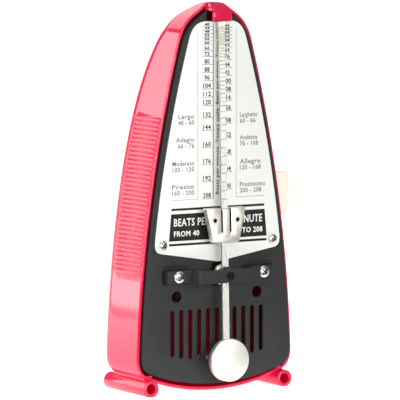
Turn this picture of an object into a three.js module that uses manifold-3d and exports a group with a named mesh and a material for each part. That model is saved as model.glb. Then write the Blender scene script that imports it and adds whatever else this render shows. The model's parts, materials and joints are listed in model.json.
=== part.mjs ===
// A pocket mechanical metronome: a domed plastic housing with a black front panel and a white
// scale plate, a pendulum that swings in front of them, and a spring-driven verge movement behind.
// Millimetres, +Z up, the front faces -Y, the winding key is on the +X side.
import * as THREE from "three";
import { mergeVertices } from "three/addons/utils/BufferGeometryUtils.js";
import Module from "manifold-3d";

const wasm = await Module();
wasm.setup();

// ---------------------------------------------------------------- driving dimensions
const HEIGHT = 159.9; // apex of the housing above the table
const LIP_BOTTOM = 0.6; // lowest point of the curved bottom edge
const RIM_Y = 1.9; // plane of the housing's front rim; the front panel's face is at y = 0
const DEPTH = 31.1; // rim to back wall, low down
const DOME_START = 50; // height where the back begins to lean forward
const DOME_SPAN = 111.3; // height over which the back would run out to nothing
const DOME_POWER = 3.7; // how long the back stays upright before it leans
const BACK_RADIUS = 8; // rounding of the back edges
const CROWN_RADIUS = 2.1; // their rounding at the apex
const CROWN_START = 149; // height where the rounding begins to tighten
const WALL = 1.4; // housing wall
const GAP = 0.3; // clearance between fixed neighbours
const TOUCH = 0.1; // clearance between faces that rest on each other

const PANEL_INSET = WALL + GAP; // panel outline inside the housing outline
const PANEL_LIFT = 1.35; // how far the panel's lower edge is raised within the rim
const LIFT_FADE = 22; // height where that raising has died away
const PANEL_DROP = 0.5; // how far its upper edges are lowered
const DROP_START = 138; // height where that lowering begins
const DROP_RISE = 12; // and the height over which it grows to the whole
const PANEL_THICK = 1.2;
const PANEL_SKIRT = 1.4; // wall that plugs the panel into the housing
const PANEL_BACK = 5.6; // rear edge of that wall
const SLOT_COUNT = 11;
const SLOT_PITCH = 4.23;
const SLOT_WIDTH = 1.88;
const SLOT_TOP = 34.7;
const SLOT_BOTTOM = 13.3; // bottom end of the middle slot
const BOTTOM_ARC = 90; // radius of the housing's curved bottom edge

const PLATE_THICK = 0.6;
const PLATE_FRONT = -0.7;
const PLATE_TOP = 152.4;

const FOOT_X = 31.9;
const FOOT_Z = 3.3;
const FOOT_R = 3.5;
const FOOT_BORE = 2.1;
const FOOT_FRONT = -1.4;
const FOOT_BACK = 32.3;

const GRIP_BOTTOM = 49.3;
const GRIP_TOP = 113.5;
const GRIP_RIBS = 36;
const GRIP_PROUD = 0.5;
const GRIP_FRONT = RIM_Y + 0.6;
const GRIP_BACK = RIM_Y + DEPTH - BACK_RADIUS - 2.6;

const PIVOT_Z = 48.7; // pendulum arbor above the table
const ROD_Y = -6.2; // middle of the rod's thickness at the pivot
const ROD_LEAN = 0.03; // the rod leans back by this angle, in radians
const ROD_WIDTH = 3;
const ROD_THICK = 1;
const ROD_UP = 104.2; // rod above the pivot
const ROD_DOWN = 38.5; // rod below the pivot
const ARBOR_R = 1;
const HUB_R = 4.35;
const WEIGHT_R = 8.85;
const WEIGHT_DOWN = 34.6; // weight's centre below the pivot
const SLIDER_LOW = 13.4; // slider's lower edge above the pivot, parked
const SLIDER_HIGH = 27.7;

const BRIDGE_HALF = 25.4;
const BRIDGE_SPAN = 14.8; // half width of its raised middle
const BRIDGE_TALL = 5.4;
const BRIDGE_FRONT = -10.8;

const TRAIN_Y = 16.3; // all arbors of the train lie in one upright plane
const MODULE = 0.5;
const WHEEL_TEETH = 48;
const PINION_TEETH = 12;
const CENTRE_DISTANCE = ((WHEEL_TEETH + PINION_TEETH) * MODULE) / 2;
const MID_Z = PIVOT_Z + CENTRE_DISTANCE;
const BARREL_Z = PIVOT_Z + 2 * CENTRE_DISTANCE;
const FRAME_X = 15.4; // inner faces of the movement plates
const FRAME_THICK = 1.6;
const WIND_R = 1.5; // winding arbor
const BEARING_GAP = 0.1;
const KEY_TIP = 44.4;
const CROWN_TEETH = 15;
const RATCHET_TEETH = 16;

// ---------------------------------------------------------------- solids
function solidOf(geometry) {
  const bare = new THREE.BufferGeometry().setAttribute("position", geometry.attributes.position);
  bare.setIndex(geometry.index);
  const merged = mergeVertices(bare, 1e-4);
  return new wasm.Manifold(
    new wasm.Mesh({
      numProp: 3,
      vertProperties: merged.attributes.position.array,
      triVerts: new Uint32Array(merged.index.array),
    }),
  );
}

function geometryOf(solid) {
  const mesh = solid.getMesh();
  const geometry = new THREE.BufferGeometry();
  geometry.setAttribute("position", new THREE.BufferAttribute(mesh.vertProperties, 3));
  geometry.setIndex(new THREE.BufferAttribute(mesh.triVerts, 1));
  geometry.computeVertexNormals();
  return geometry;
}

const union = (first, ...others) => others.reduce((sum, next) => sum.add(next), first);
const cut = (first, ...tools) => tools.reduce((rest, tool) => rest.subtract(tool), first);

// A block between two opposite corners.
function block(x0, x1, y0, y1, z0, z1) {
  const box = new THREE.BoxGeometry(x1 - x0, y1 - y0, z1 - z0);
  return solidOf(box.translate((x0 + x1) / 2, (y0 + y1) / 2, (z0 + z1) / 2));
}

// A shape drawn in X and Z, from yFront back to yBack.
function alongY(shape, yFront, yBack, curveSegments = 8) {
  const options = { depth: yBack - yFront, bevelEnabled: false, curveSegments };
  return solidOf(new THREE.ExtrudeGeometry(shape, options).rotateX(Math.PI / 2).translate(0, yBack, 0));
}

// A shape drawn in Y and Z, from x0 to x1.
const SIDEWAYS = new THREE.Matrix4().makeBasis(
  new THREE.Vector3(0, 1, 0),
  new THREE.Vector3(0, 0, 1),
  new THREE.Vector3(1, 0, 0),
);
function alongX(shape, x0, x1, curveSegments = 8) {
  const options = { depth: x1 - x0, bevelEnabled: false, curveSegments };
  return solidOf(new THREE.ExtrudeGeometry(shape, options).applyMatrix4(SIDEWAYS).translate(x0, 0, 0));
}

function circle(u, v, radius) {
  return new THREE.Shape().absarc(u, v, radius, 0, 2 * Math.PI);
}

const rodAlongY = (x, z, radius, y0, y1, segments = 16) =>
  alongY(circle(x, z, radius), y0, y1, segments / 2);
const rodAlongX = (y, z, radius, x0, x1, segments = 16) =>
  alongX(circle(y, z, radius), x0, x1, segments / 2);

function rectangle(u0, u1, v0, v1) {
  const shape = new THREE.Shape();
  shape.moveTo(u0, v0).lineTo(u1, v0).lineTo(u1, v1).lineTo(u0, v1);
  return shape;
}

// ---------------------------------------------------------------- the housing's outline
// The right half of the front outline, from the bottom middle to the apex, with the steps per curve.
const point = (x, z) => new THREE.Vector2(x, z);
const bow = (a, b, c) => new THREE.QuadraticBezierCurve(a, b, c);
const OUTLINE = [
  [bow(point(0, LIP_BOTTOM), point(17.5, LIP_BOTTOM), point(32.4, 6.9)), 5],
  [bow(point(32.4, 6.9), point(37.1, 8.9), point(36.9, 16)), 3],
  [bow(point(36.9, 16), point(34.65, 80), point(17.7, 144.2)), 9],
  [bow(point(17.7, 144.2), point(15.8, 151.4), point(10.5, 155.2)), 4],
  [new THREE.LineCurve(point(10.5, 155.2), point(5.2, 158.9)), 2],
  [bow(point(5.2, 158.9), point(3.7, HEIGHT), point(0, HEIGHT)), 3],
];

// Points of the right half, moved inwards by inset.
function halfOutline(inset) {
  const points = [];
  OUTLINE.forEach(([curve, steps], index) => {
    for (let i = index === 0 ? 0 : 1; i <= steps; i++) {
      const along = curve.getTangent(i / steps);
      const spot = curve.getPoint(i / steps);
      points.push(point(spot.x - along.y * inset, spot.y + along.x * inset));
    }
  });
  points[0].x = 0;
  points.at(-1).x = 0;
  return points;
}

function mirrored(half) {
  const left = half
    .filter((p) => p.x > 0)
    .map((p) => point(-p.x, p.y))
    .reverse();
  return new THREE.Shape([...half, ...left]);
}

// How far the back lies behind the rim at height z.
function depthAt(z) {
  const rise = Math.max(0, (z - DOME_START) / DOME_SPAN);
  const low = Math.max(0, BACK_RADIUS + LIP_BOTTOM - z);
  const undercut = BACK_RADIUS - Math.sqrt(BACK_RADIUS ** 2 - low ** 2);
  return DEPTH * Math.sqrt(1 - rise ** DOME_POWER) - undercut;
}

// The rounding of the back edges at height z.
function backRadius(z) {
  const crown = Math.max(0, (z - CROWN_START) / (HEIGHT - CROWN_START));
  return BACK_RADIUS - (BACK_RADIUS - CROWN_RADIUS) * crown;
}

// A closed body whose level sections are flat in front and rounded at the back corners.
function hood(inset, yFront) {
  const corner = 4;
  const ring = ({ x, y: z }) => {
    const back = RIM_Y + depthAt(THREE.MathUtils.clamp(z, LIP_BOTTOM, HEIGHT)) - inset;
    const radius = Math.max(0, Math.min(backRadius(z) - inset, 0.9 * x, 0.8 * (back - RIM_Y)));
    const right = [[x, yFront]];
    for (let i = 0; i <= corner; i++) {
      const turn = (i / corner) * (Math.PI / 2);
      right.push([x - radius * (1 - Math.cos(turn)), back - radius * (1 - Math.sin(turn))]);
    }
    const left = right.map(([u, v]) => [-u, v]).reverse();
    return [...right, ...left].map(([u, v]) => new THREE.Vector3(u, v, z));
  };
  const rings = halfOutline(inset).map(ring);
  const size = rings[0].length;
  const positions = [];
  const face = (a, b, c) => {
    if (a.distanceTo(b) > 1e-4 && b.distanceTo(c) > 1e-4 && c.distanceTo(a) > 1e-4)
      positions.push(...a, ...b, ...c);
  };
  for (let r = 0; r + 1 < rings.length; r++)
    for (let i = 0; i < size; i++) {
      const j = (i + 1) % size;
      face(rings[r][i], rings[r][j], rings[r + 1][j]);
      face(rings[r][i], rings[r + 1][j], rings[r + 1][i]);
    }
  const geometry = new THREE.BufferGeometry();
  geometry.setAttribute("position", new THREE.BufferAttribute(new Float32Array(positions), 3));
  return solidOf(geometry);
}

// ---------------------------------------------------------------- housing
const SIDE_CURVE = OUTLINE[2][0];

// A comb of ribs on the right side wall, drawn in X and Z and run from front to back.
function gripRibs() {
  const start = (GRIP_BOTTOM - 16) / (144.2 - 16);
  const end = (GRIP_TOP - 16) / (144.2 - 16);
  const at = (share, out) => {
    const t = start + (end - start) * share;
    const along = SIDE_CURVE.getTangent(t);
    const spot = SIDE_CURVE.getPoint(t);
    return point(spot.x + along.y * out, spot.y - along.x * out);
  };
  const outer = [];
  for (let i = 0; i < GRIP_RIBS; i++)
    for (const [share, out] of [
      [0.15, 0.02],
      [0.3, GRIP_PROUD],
      [0.7, GRIP_PROUD],
      [0.85, 0.02],
    ])
      outer.push(at((i + share) / GRIP_RIBS, out));
  const inner = [1, 0.75, 0.5, 0.25, 0].map((share) => at(share, -WALL / 2));
  return alongY(new THREE.Shape([...outer, ...inner]), GRIP_FRONT, GRIP_BACK);
}

const KEY_BUSH_R = 4;
const SCREW_POST = { x: 26.2, z: 61.7, radius: 3, bore: 1.25 };
const MOUNT_POST = { x: 21.6, y: 25.2, radius: 2.6, bore: 1, heights: [45.8, 86.8] };
const TAB = { half: 4.6, bottom: 152.3, front: -4.5, lip: 0.75, pocket: 1.5, shoulder: 158.7 };

// The tab that overhangs the rod's tip, open below and at its sides.
function tab() {
  const shape = new THREE.Shape();
  shape.moveTo(-TAB.half, TAB.bottom).lineTo(TAB.half, TAB.bottom);
  shape.quadraticCurveTo(TAB.half, TAB.shoulder - 0.7, 2.6, TAB.shoulder);
  shape.quadraticCurveTo(0, TAB.shoulder + 0.7, -2.6, TAB.shoulder);
  shape.quadraticCurveTo(-TAB.half, TAB.shoulder - 0.7, -TAB.half, TAB.bottom);
  const tip = block(-6, 6, TAB.front + TAB.lip, PANEL_BACK, TAB.bottom - 1, TAB.bottom + TAB.pocket);
  return alongY(shape, TAB.front, RIM_Y + 1, 4).subtract(tip);
}

function foot(side) {
  const tube = rodAlongY(side * FOOT_X, FOOT_Z, FOOT_R, FOOT_FRONT, FOOT_BACK, 20);
  const [near, far] = [side * 29.6, side * 33.2].sort((a, b) => a - b);
  const web = block(near, far, RIM_Y + 0.6, RIM_Y + DEPTH - 6, 4.5, 8.3);
  const bore = rodAlongY(side * FOOT_X, FOOT_Z, FOOT_BORE, FOOT_FRONT - 1, FOOT_BACK + 1, 16);
  return cut(union(tube, web), bore, block(-40, 40, -10, 50, -5, 0));
}

// A post that stands forward from the back wall, with a pilot hole for a screw.
function post(x, z, radius, yFront, bore, holeDepth) {
  const wallY = RIM_Y + depthAt(z) - WALL / 2;
  const stem = rodAlongY(x, z, radius, yFront, wallY - 0.6, 12);
  return stem.subtract(rodAlongY(x, z, bore, yFront - 1, yFront + holeDepth, 10));
}

function housing() {
  const ribs = gripRibs();
  let body = cut(hood(0, RIM_Y), hood(WALL, RIM_Y - 4));
  body = union(body, ribs, ribs.mirror([1, 0, 0]), tab(), foot(1), foot(-1));
  for (const side of [1, -1]) {
    const { x, z, radius, bore } = SCREW_POST;
    body = body.add(post(side * x, z, radius, PANEL_THICK + GAP, bore, 12));
    for (const height of MOUNT_POST.heights)
      body = body.add(post(side * MOUNT_POST.x, height, MOUNT_POST.radius, MOUNT_POST.y, MOUNT_POST.bore, 4));
  }
  return body.subtract(rodAlongX(TRAIN_Y, BARREL_Z, KEY_BUSH_R + TOUCH, 25, 40, 20));
}

// ---------------------------------------------------------------- front panel, scale plate, bridge
const HOLES = { x: 19.2, z: 40.2, radius: 2.3 };
const BRIDGE_SCREW_X = 20.2;
const BRIDGE_SEAT = 0.4; // depth of the shallow pocket that the bridge stands in

function slot(index) {
  const x = (index - (SLOT_COUNT - 1) / 2) * SLOT_PITCH;
  const half = SLOT_WIDTH / 2;
  const low = SLOT_BOTTOM + x ** 2 / (2 * BOTTOM_ARC) + half;
  const shape = new THREE.Shape();
  shape.absarc(x, SLOT_TOP - half, half, 0, Math.PI);
  shape.absarc(x, low, half, Math.PI, 2 * Math.PI);
  return alongY(shape, -1, PANEL_THICK + 1, 4);
}

// The panel's outline, or the inside of its skirt: the housing's, moved inwards, raised low down and
// lowered at the top, where the rim around it is broader.
function panelOutline(inset) {
  const half = halfOutline(inset).map(({ x, y: z }) => {
    const low = Math.max(0, 1 - z / LIFT_FADE);
    const high = THREE.MathUtils.clamp((z - DROP_START) / DROP_RISE, 0, 1);
    return point(x, z + PANEL_LIFT * low - PANEL_DROP * high);
  });
  return mirrored(half);
}

function frontPanel() {
  const face = alongY(panelOutline(PANEL_INSET), 0, PANEL_BACK);
  const hollow = alongY(panelOutline(PANEL_INSET + PANEL_SKIRT), PANEL_THICK, PANEL_BACK + 1);
  let body = face.subtract(hollow);
  const seat = [PIVOT_Z - BRIDGE_TALL / 2 - 0.5, PIVOT_Z + BRIDGE_TALL / 2 + 0.5];
  for (const side of [1, -1]) {
    const boss = rodAlongY(side * BRIDGE_SCREW_X, PIVOT_Z, 2.6, PANEL_THICK - 0.2, PANEL_BACK + 1.5, 12);
    body = body.add(boss);
    body = cut(
      body,
      rodAlongY(side * BRIDGE_SCREW_X, PIVOT_Z, 1.1, -1, PANEL_BACK, 10),
      rodAlongY(side * HOLES.x, HOLES.z, HOLES.radius, -1, PANEL_THICK + 1, 16),
      rodAlongY(side * SCREW_POST.x, SCREW_POST.z, 1.4, -1, PANEL_BACK + 1, 10),
    );
  }
  for (let i = 0; i < SLOT_COUNT; i++) body = body.subtract(slot(i));
  const clearTab = block(-TAB.half - GAP, TAB.half + GAP, 0, PANEL_BACK + 1, TAB.bottom - GAP, HEIGHT);
  return cut(
    body,
    block(-BRIDGE_HALF - 0.4, BRIDGE_HALF + 0.4, -1, BRIDGE_SEAT, ...seat),
    block(-2.2, 2.2, -1, PANEL_THICK + 1, PIVOT_Z - 4.5, PIVOT_Z + 4.8),
    clearTab,
  );
}

// The white plate: a flat top with round shoulders, sides that follow the panel, and a V-shaped foot.
function scalePlate() {
  const half = [
    [new THREE.LineCurve(point(0, 53.8), point(26.9, 58.3)), 1],
    [bow(point(26.9, 58.3), point(30, 58.8), point(29.6, 63)), 4],
    [bow(point(29.6, 63), point(25, 104), point(13.5, 145.2)), 10],
    [bow(point(13.5, 145.2), point(11.6, PLATE_TOP), point(5.5, PLATE_TOP)), 5],
    [new THREE.LineCurve(point(5.5, PLATE_TOP), point(0, PLATE_TOP)), 1],
  ].flatMap(([curve, steps], index) => curve.getPoints(steps).slice(index === 0 ? 0 : 1));
  const body = alongY(mirrored(half), PLATE_FRONT, PLATE_FRONT + PLATE_THICK);
  const hole = (side) => rodAlongY(side * SCREW_POST.x, SCREW_POST.z, 1.4, -2, 1, 10);
  return cut(body, hole(1), hole(-1));
}

function bridge() {
  const [low, high] = [PIVOT_Z - BRIDGE_TALL / 2, PIVOT_Z + BRIDGE_TALL / 2];
  const seat = BRIDGE_SEAT - TOUCH;
  const shape = new THREE.Shape();
  const foot = -3.6;
  const leg = BRIDGE_SPAN - 2.2;
  const inside = BRIDGE_FRONT + 2.4;
  shape.moveTo(-BRIDGE_HALF, seat).lineTo(-leg, seat).lineTo(-leg, inside).lineTo(leg, inside);
  shape.lineTo(leg, seat).lineTo(BRIDGE_HALF, seat).lineTo(BRIDGE_HALF, foot).lineTo(BRIDGE_SPAN, foot);
  shape.lineTo(BRIDGE_SPAN, BRIDGE_FRONT).lineTo(-BRIDGE_SPAN, BRIDGE_FRONT).lineTo(-BRIDGE_SPAN, foot);
  shape.lineTo(-BRIDGE_HALF, foot);
  const options = { depth: high - low, bevelEnabled: false };
  let body = solidOf(new THREE.ExtrudeGeometry(shape, options).translate(0, 0, low));
  for (const side of [1, -1])
    body = body.subtract(rodAlongY(side * BRIDGE_SCREW_X, PIVOT_Z, 1.4, -5, 2, 12));
  const boss = rodAlongY(0, high - 0.6, 1.6, BRIDGE_FRONT, inside, 12);
  body = body.add(boss.subtract(block(-3, 3, BRIDGE_FRONT - 1, 0, PIVOT_Z, high - 0.8)));
  return cut(
    body,
    rodAlongY(0, PIVOT_Z, ARBOR_R + BEARING_GAP, BRIDGE_FRONT - 1, 0, 16),
    rodAlongY(0, PIVOT_Z, 1.75, BRIDGE_FRONT - 1, BRIDGE_FRONT + 0.8, 16),
  );
}

// A round-headed screw along +Y with its head's underside at the origin; recess is "cross" or "slot".
function screw(headR, headTall, shankR, shankLong, recess, segments) {
  const profile = [
    [0, -shankLong],
    [shankR, -shankLong],
    [shankR, 0],
    [headR, 0],
    [headR, headTall * 0.45],
    [headR * 0.55, headTall],
    [0, headTall],
  ].map(([r, h]) => new THREE.Vector2(r, h));
  let body = solidOf(new THREE.LatheGeometry(profile, segments).rotateX(Math.PI));
  const reach = headR * 0.6;
  const thin = headR * 0.14;
  const [y0, y1] = [-headTall - 1, -headTall * 0.45];
  body = body.subtract(block(-reach, reach, y0, y1, -thin, thin));
  if (recess === "cross") body = body.subtract(block(-thin, thin, y0, y1, -reach, reach));
  return geometryOf(body);
}

// ---------------------------------------------------------------- pendulum
// The rod, its weight and the slider are drawn in the rod's own frame: origin at the pivot, Z along
// the rod, -Y to the front.
const TEMPOS = [
  40, 42, 44, 46, 48, 50, 52, 54, 56, 58, 60, 63, 66, 69, 72, 76, 80, 84, 88, 92, 96, 100, 104, 108,
  112, 116, 120, 126, 132, 138, 144, 152, 160, 168, 176, 184, 192, 200, 208,
];
const FAST_MARK = 31.2; // notch for the fastest tempo, above the pivot
const SLOW_MARK = 101.5; // notch for the slowest tempo
const MARK_BEND = 1.055; // the marks close up a little towards the slow end
const NOTCH = { deep: 0.3, tall: 0.5 };

// Where the slider's upper edge stands for a tempo, above the pivot.
function markHeight(tempo) {
  const [slowest, fastest] = [TEMPOS[0], TEMPOS.at(-1)];
  const share = (tempo - slowest) / (fastest - slowest);
  return SLOW_MARK - (SLOW_MARK - FAST_MARK) * share ** MARK_BEND;
}

function pendulumRod() {
  const shape = new THREE.Shape();
  const half = ROD_THICK / 2;
  shape.moveTo(half, -ROD_DOWN).lineTo(half, ROD_UP).lineTo(-half, ROD_UP);
  for (const tempo of TEMPOS) {
    const z = markHeight(tempo);
    shape.lineTo(-half, z + NOTCH.tall / 2).lineTo(-half + NOTCH.deep, z);
    shape.lineTo(-half, z - NOTCH.tall / 2);
  }
  shape.lineTo(-half, -ROD_DOWN);
  return cut(
    alongX(shape, -ROD_WIDTH / 2, ROD_WIDTH / 2),
    rodAlongY(0, 0, ARBOR_R + 0.12, -2, 2, 12),
    rodAlongY(0, -WEIGHT_DOWN, 0.9, -2, 2, 10),
  );
}

function discAlongY(z, radius, y0, y1, chamfer, segments) {
  const long = y1 - y0;
  const profile = [
    [0, 0],
    [radius - chamfer, 0],
    [radius, chamfer],
    [radius, long - chamfer],
    [radius - chamfer, long],
    [0, long],
  ].map(([r, h]) => new THREE.Vector2(r, h));
  return solidOf(new THREE.LatheGeometry(profile, segments).translate(0, y0, z));
}

const RIVET_R = 0.85;
const COUNTER = { front: -3.7, back: 2.7, seat: ROD_THICK / 2 + TOUCH };

function counterweight() {
  return cut(
    discAlongY(-WEIGHT_DOWN, WEIGHT_R, COUNTER.front, -COUNTER.seat, 0.5, 32),
    rodAlongY(0, -WEIGHT_DOWN, RIVET_R, -2.2, 0, 10),
  );
}

function backWeight() {
  return cut(
    discAlongY(-WEIGHT_DOWN, 6.6, COUNTER.seat, COUNTER.back, 0.3, 24),
    rodAlongY(0, -WEIGHT_DOWN, RIVET_R, -1, 4, 10),
  );
}

function weightRivet() {
  return union(
    rodAlongY(0, -WEIGHT_DOWN, RIVET_R - TOUCH, -2, COUNTER.back + 0.2, 10),
    rodAlongY(0, -WEIGHT_DOWN, 1.7, COUNTER.back + TOUCH, COUNTER.back + 0.7, 10),
  );
}

const SLIDER = { top: 9.3, bottom: 6.05, front: -1.9, back: 1.3, slit: 2, slitWide: 0.7 };

function trapezoid(inset) {
  const shape = new THREE.Shape();
  shape.moveTo(-SLIDER.bottom + inset, SLIDER_LOW + inset);
  shape.quadraticCurveTo(0, SLIDER_LOW + inset - 0.5, SLIDER.bottom - inset, SLIDER_LOW + inset);
  shape.lineTo(SLIDER.top - inset, SLIDER_HIGH - inset).lineTo(-SLIDER.top + inset, SLIDER_HIGH - inset);
  return shape;
}

// The slider's casting, with a channel for the rod and a tongue between two slits.
function sliderBody() {
  const side = ROD_WIDTH / 2 + 0.2;
  const deep = ROD_THICK / 2 + 0.2;
  const slits = [1, -1].map((s) => {
    const [near, far] = [s * (SLIDER.slit - SLIDER.slitWide / 2), s * (SLIDER.slit + SLIDER.slitWide / 2)];
    return block(Math.min(near, far), Math.max(near, far), -3, 0, SLIDER_LOW + 4.4, SLIDER_HIGH + 1);
  });
  const pins = [1, -1].map((s) => rodAlongY(s * 5.35, SLIDER_HIGH - 5, 0.95, -3, 3, 10));
  return cut(
    alongY(trapezoid(0), SLIDER.front, SLIDER.back),
    block(-side, side, -deep, SLIDER.back + 1, SLIDER_LOW - 2, SLIDER_HIGH + 1),
    ...slits,
    ...pins,
  );
}

// A thin spring leaf riveted to the slider's back, which presses the rod into the channel.
function sliderSpring() {
  const pins = [1, -1].map((s) => rodAlongY(s * 5.35, SLIDER_HIGH - 5, 0.95, 0, 3, 10));
  return cut(alongY(trapezoid(0.9), SLIDER.back + TOUCH, SLIDER.back + 0.5), ...pins);
}

function sliderRivet(side) {
  const z = SLIDER_HIGH - 5;
  return union(
    rodAlongY(side * 5.35, z, 0.95 - TOUCH, SLIDER.front + 0.4, SLIDER.back + 0.8, 10),
    rodAlongY(side * 5.35, z, 1.4, SLIDER.back + 0.6, SLIDER.back + 1, 10),
  );
}

// The collar that fixes the rod to its arbor.
function hub() {
  const body = solidOf(
    new THREE.LatheGeometry(
      [
        [0, 0],
        [HUB_R - 0.4, 0],
        [HUB_R, 0.4],
        [HUB_R, 1.6],
        [2.2, 1.6],
        [2.2, 2.6],
        [0, 2.6],
      ].map(([r, h]) => new THREE.Vector2(r, h)),
      24,
    ).translate(0, ROD_Y + 0.8, PIVOT_Z),
  );
  return body.subtract(rodAlongY(0, PIVOT_Z, ARBOR_R + 0.12, -10, 2, 12));
}

const PALLET = { from: 6.5, long: 2.3, thick: 0.45, wide: 2, spread: 0.87 };
const REAR_COCK = { y0: 26.8, y1: 28.8 };
const REAR_COCK_Y = (REAR_COCK.y0 + REAR_COCK.y1) / 2;

// The verge: an arbor that crosses the crown wheel's face.
function pendulumArbor() {
  return rodAlongY(0, PIVOT_Z, ARBOR_R, BRIDGE_FRONT + 0.5, REAR_COCK.y1 + 0.5, 12);
}

// A pallet: a collar on the verge with a flag towards the crown wheel, tilted up or down.
function pallet(direction) {
  const y = TRAIN_Y + direction * PALLET.from;
  const [y0, y1] = [y - PALLET.wide / 2, y + PALLET.wide / 2];
  const collar = rodAlongY(0, 0, 1.7, y0, y1, 12);
  const flag = block(1, PALLET.long, y0, y1, -PALLET.thick / 2, PALLET.thick / 2);
  const turned = flag.rotate([0, -direction * THREE.MathUtils.radToDeg(PALLET.spread), 0]);
  return cut(collar.add(turned), rodAlongY(0, 0, ARBOR_R + 0.05, y0 - 1, y1 + 1, 12)).translate([
    0,
    0,
    PIVOT_Z,
  ]);
}

// ---------------------------------------------------------------- train
// A toothed outline with straight flanks, centred on the origin, tooth 0 on the first axis.
function gearShape(teeth, turn) {
  const pitchR = (teeth * MODULE) / 2;
  const step = (2 * Math.PI) / teeth;
  const corners = [
    [-0.27, pitchR - 1.2 * MODULE],
    [-0.11, pitchR + 0.9 * MODULE],
    [0.11, pitchR + 0.9 * MODULE],
    [0.27, pitchR - 1.2 * MODULE],
  ];
  const points = [];
  for (let i = 0; i < teeth; i++)
    for (const [share, radius] of corners) {
      const angle = turn + (i + share) * step;
      points.push(point(radius * Math.cos(angle), radius * Math.sin(angle)));
    }
  return new THREE.Shape(points);
}

const gearAlongX = (teeth, turn, z, x0, x1) =>
  alongX(gearShape(teeth, turn), x0, x1).translate([0, TRAIN_Y, z]);
const HALF_PINION_TOOTH = Math.PI / PINION_TEETH;

const BARREL = { x0: -13.6, x1: -4.6, radius: 10.6, inside: 9.7, gear: -2.6 };

function barrel() {
  const drum = rodAlongX(TRAIN_Y, BARREL_Z, BARREL.radius, BARREL.x0 + 1.2, BARREL.gear, 32);
  const gear = gearAlongX(WHEEL_TEETH, 0, BARREL_Z, BARREL.x1, BARREL.gear);
  return cut(
    union(drum, gear),
    rodAlongX(TRAIN_Y, BARREL_Z, BARREL.inside, BARREL.x0, BARREL.x1, 32),
    rodAlongX(TRAIN_Y, BARREL_Z, WIND_R + BEARING_GAP, -20, 20, 16),
  );
}

function barrelCover() {
  return cut(
    rodAlongX(TRAIN_Y, BARREL_Z, BARREL.radius, BARREL.x0, BARREL.x0 + 1.1, 32),
    rodAlongX(TRAIN_Y, BARREL_Z, WIND_R + BEARING_GAP, -20, 20, 16),
  );
}

// A flat spiral strip, wound between the arbor and the barrel's wall.
function mainspring() {
  const turns = 4;
  const perTurn = 16;
  const thick = 0.4;
  const [inner, outer] = [2.4, BARREL.inside - 0.3];
  const edge = (offset) => {
    const points = [];
    for (let i = 0; i <= turns * perTurn; i++) {
      const radius = inner + ((outer - inner - thick) * i) / (turns * perTurn) + offset;
      const angle = (2 * Math.PI * i) / perTurn;
      points.push(point(radius * Math.cos(angle), radius * Math.sin(angle)));
    }
    return points;
  };
  const shape = new THREE.Shape([...edge(thick), ...edge(0).reverse()]);
  return alongX(shape, BARREL.x0 + 1.6, BARREL.x1 - 0.4).translate([0, TRAIN_Y, BARREL_Z]);
}

const RATCHET = { x0: 11.4, x1: 13, tip: 6, root: 5 };

function windingArbor() {
  return rodAlongX(TRAIN_Y, BARREL_Z, WIND_R, -FRAME_X - FRAME_THICK - 0.4, 37.5, 16);
}

function ratchetShape() {
  const points = [];
  const step = (2 * Math.PI) / RATCHET_TEETH;
  for (let i = 0; i < RATCHET_TEETH; i++) {
    points.push(point(RATCHET.root * Math.cos(i * step), RATCHET.root * Math.sin(i * step)));
    points.push(point(RATCHET.tip * Math.cos(i * step + 0.02), RATCHET.tip * Math.sin(i * step + 0.02)));
  }
  return new THREE.Shape(points);
}

function ratchetWheel() {
  const body = alongX(ratchetShape(), RATCHET.x0, RATCHET.x1).translate([0, TRAIN_Y, BARREL_Z]);
  return body.subtract(rodAlongX(TRAIN_Y, BARREL_Z, WIND_R + 0.05, 0, 20, 16));
}

const CLICK = { y: TRAIN_Y + 7.4, z: BARREL_Z + 6.8, radius: 1.7, pin: 0.9 };

// The click: an eye on its screw with a beak that drops towards the ratchet wheel's teeth.
function click() {
  const shape = new THREE.Shape();
  shape.moveTo(CLICK.y + 1.2, CLICK.z - 1.2).lineTo(CLICK.y + 0.4, CLICK.z - 4.3);
  shape.lineTo(CLICK.y - 1.9, CLICK.z - 3.75).lineTo(CLICK.y - 1.5, CLICK.z - 0.4);
  const beak = alongX(shape, RATCHET.x0 + 0.1, RATCHET.x1 - 0.1);
  const eye = rodAlongX(CLICK.y, CLICK.z, CLICK.radius, RATCHET.x0 + 0.1, RATCHET.x1 - 0.1, 14);
  return union(eye, beak).subtract(rodAlongX(CLICK.y, CLICK.z, CLICK.pin + BEARING_GAP, 0, 20, 12));
}

function clickScrew() {
  return union(
    rodAlongX(CLICK.y, CLICK.z, CLICK.pin, RATCHET.x0 - 1, FRAME_X - TOUCH, 12),
    rodAlongX(CLICK.y, CLICK.z, 1.9, RATCHET.x0 - 1, RATCHET.x0 - 0.1, 12),
  );
}

// A bent wire that presses on the click's tail side, held in the right plate.
function clickSpring() {
  const route = new THREE.CatmullRomCurve3([
    new THREE.Vector3(FRAME_X - GAP, CLICK.y - 1.2, CLICK.z + 4.6),
    new THREE.Vector3(12.2, CLICK.y - 0.4, CLICK.z + 4.4),
    new THREE.Vector3(12.2, CLICK.y + 2.5, CLICK.z + 2.1),
    new THREE.Vector3(12.2, CLICK.y + 2.4, CLICK.z - 1.6),
  ]);
  const wire = new THREE.Shape().absarc(0, 0, 0.25, 0, 2 * Math.PI);
  const options = { steps: 12, curveSegments: 3, extrudePath: route, bevelEnabled: false };
  return solidOf(new THREE.ExtrudeGeometry(wire, options));
}

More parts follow.
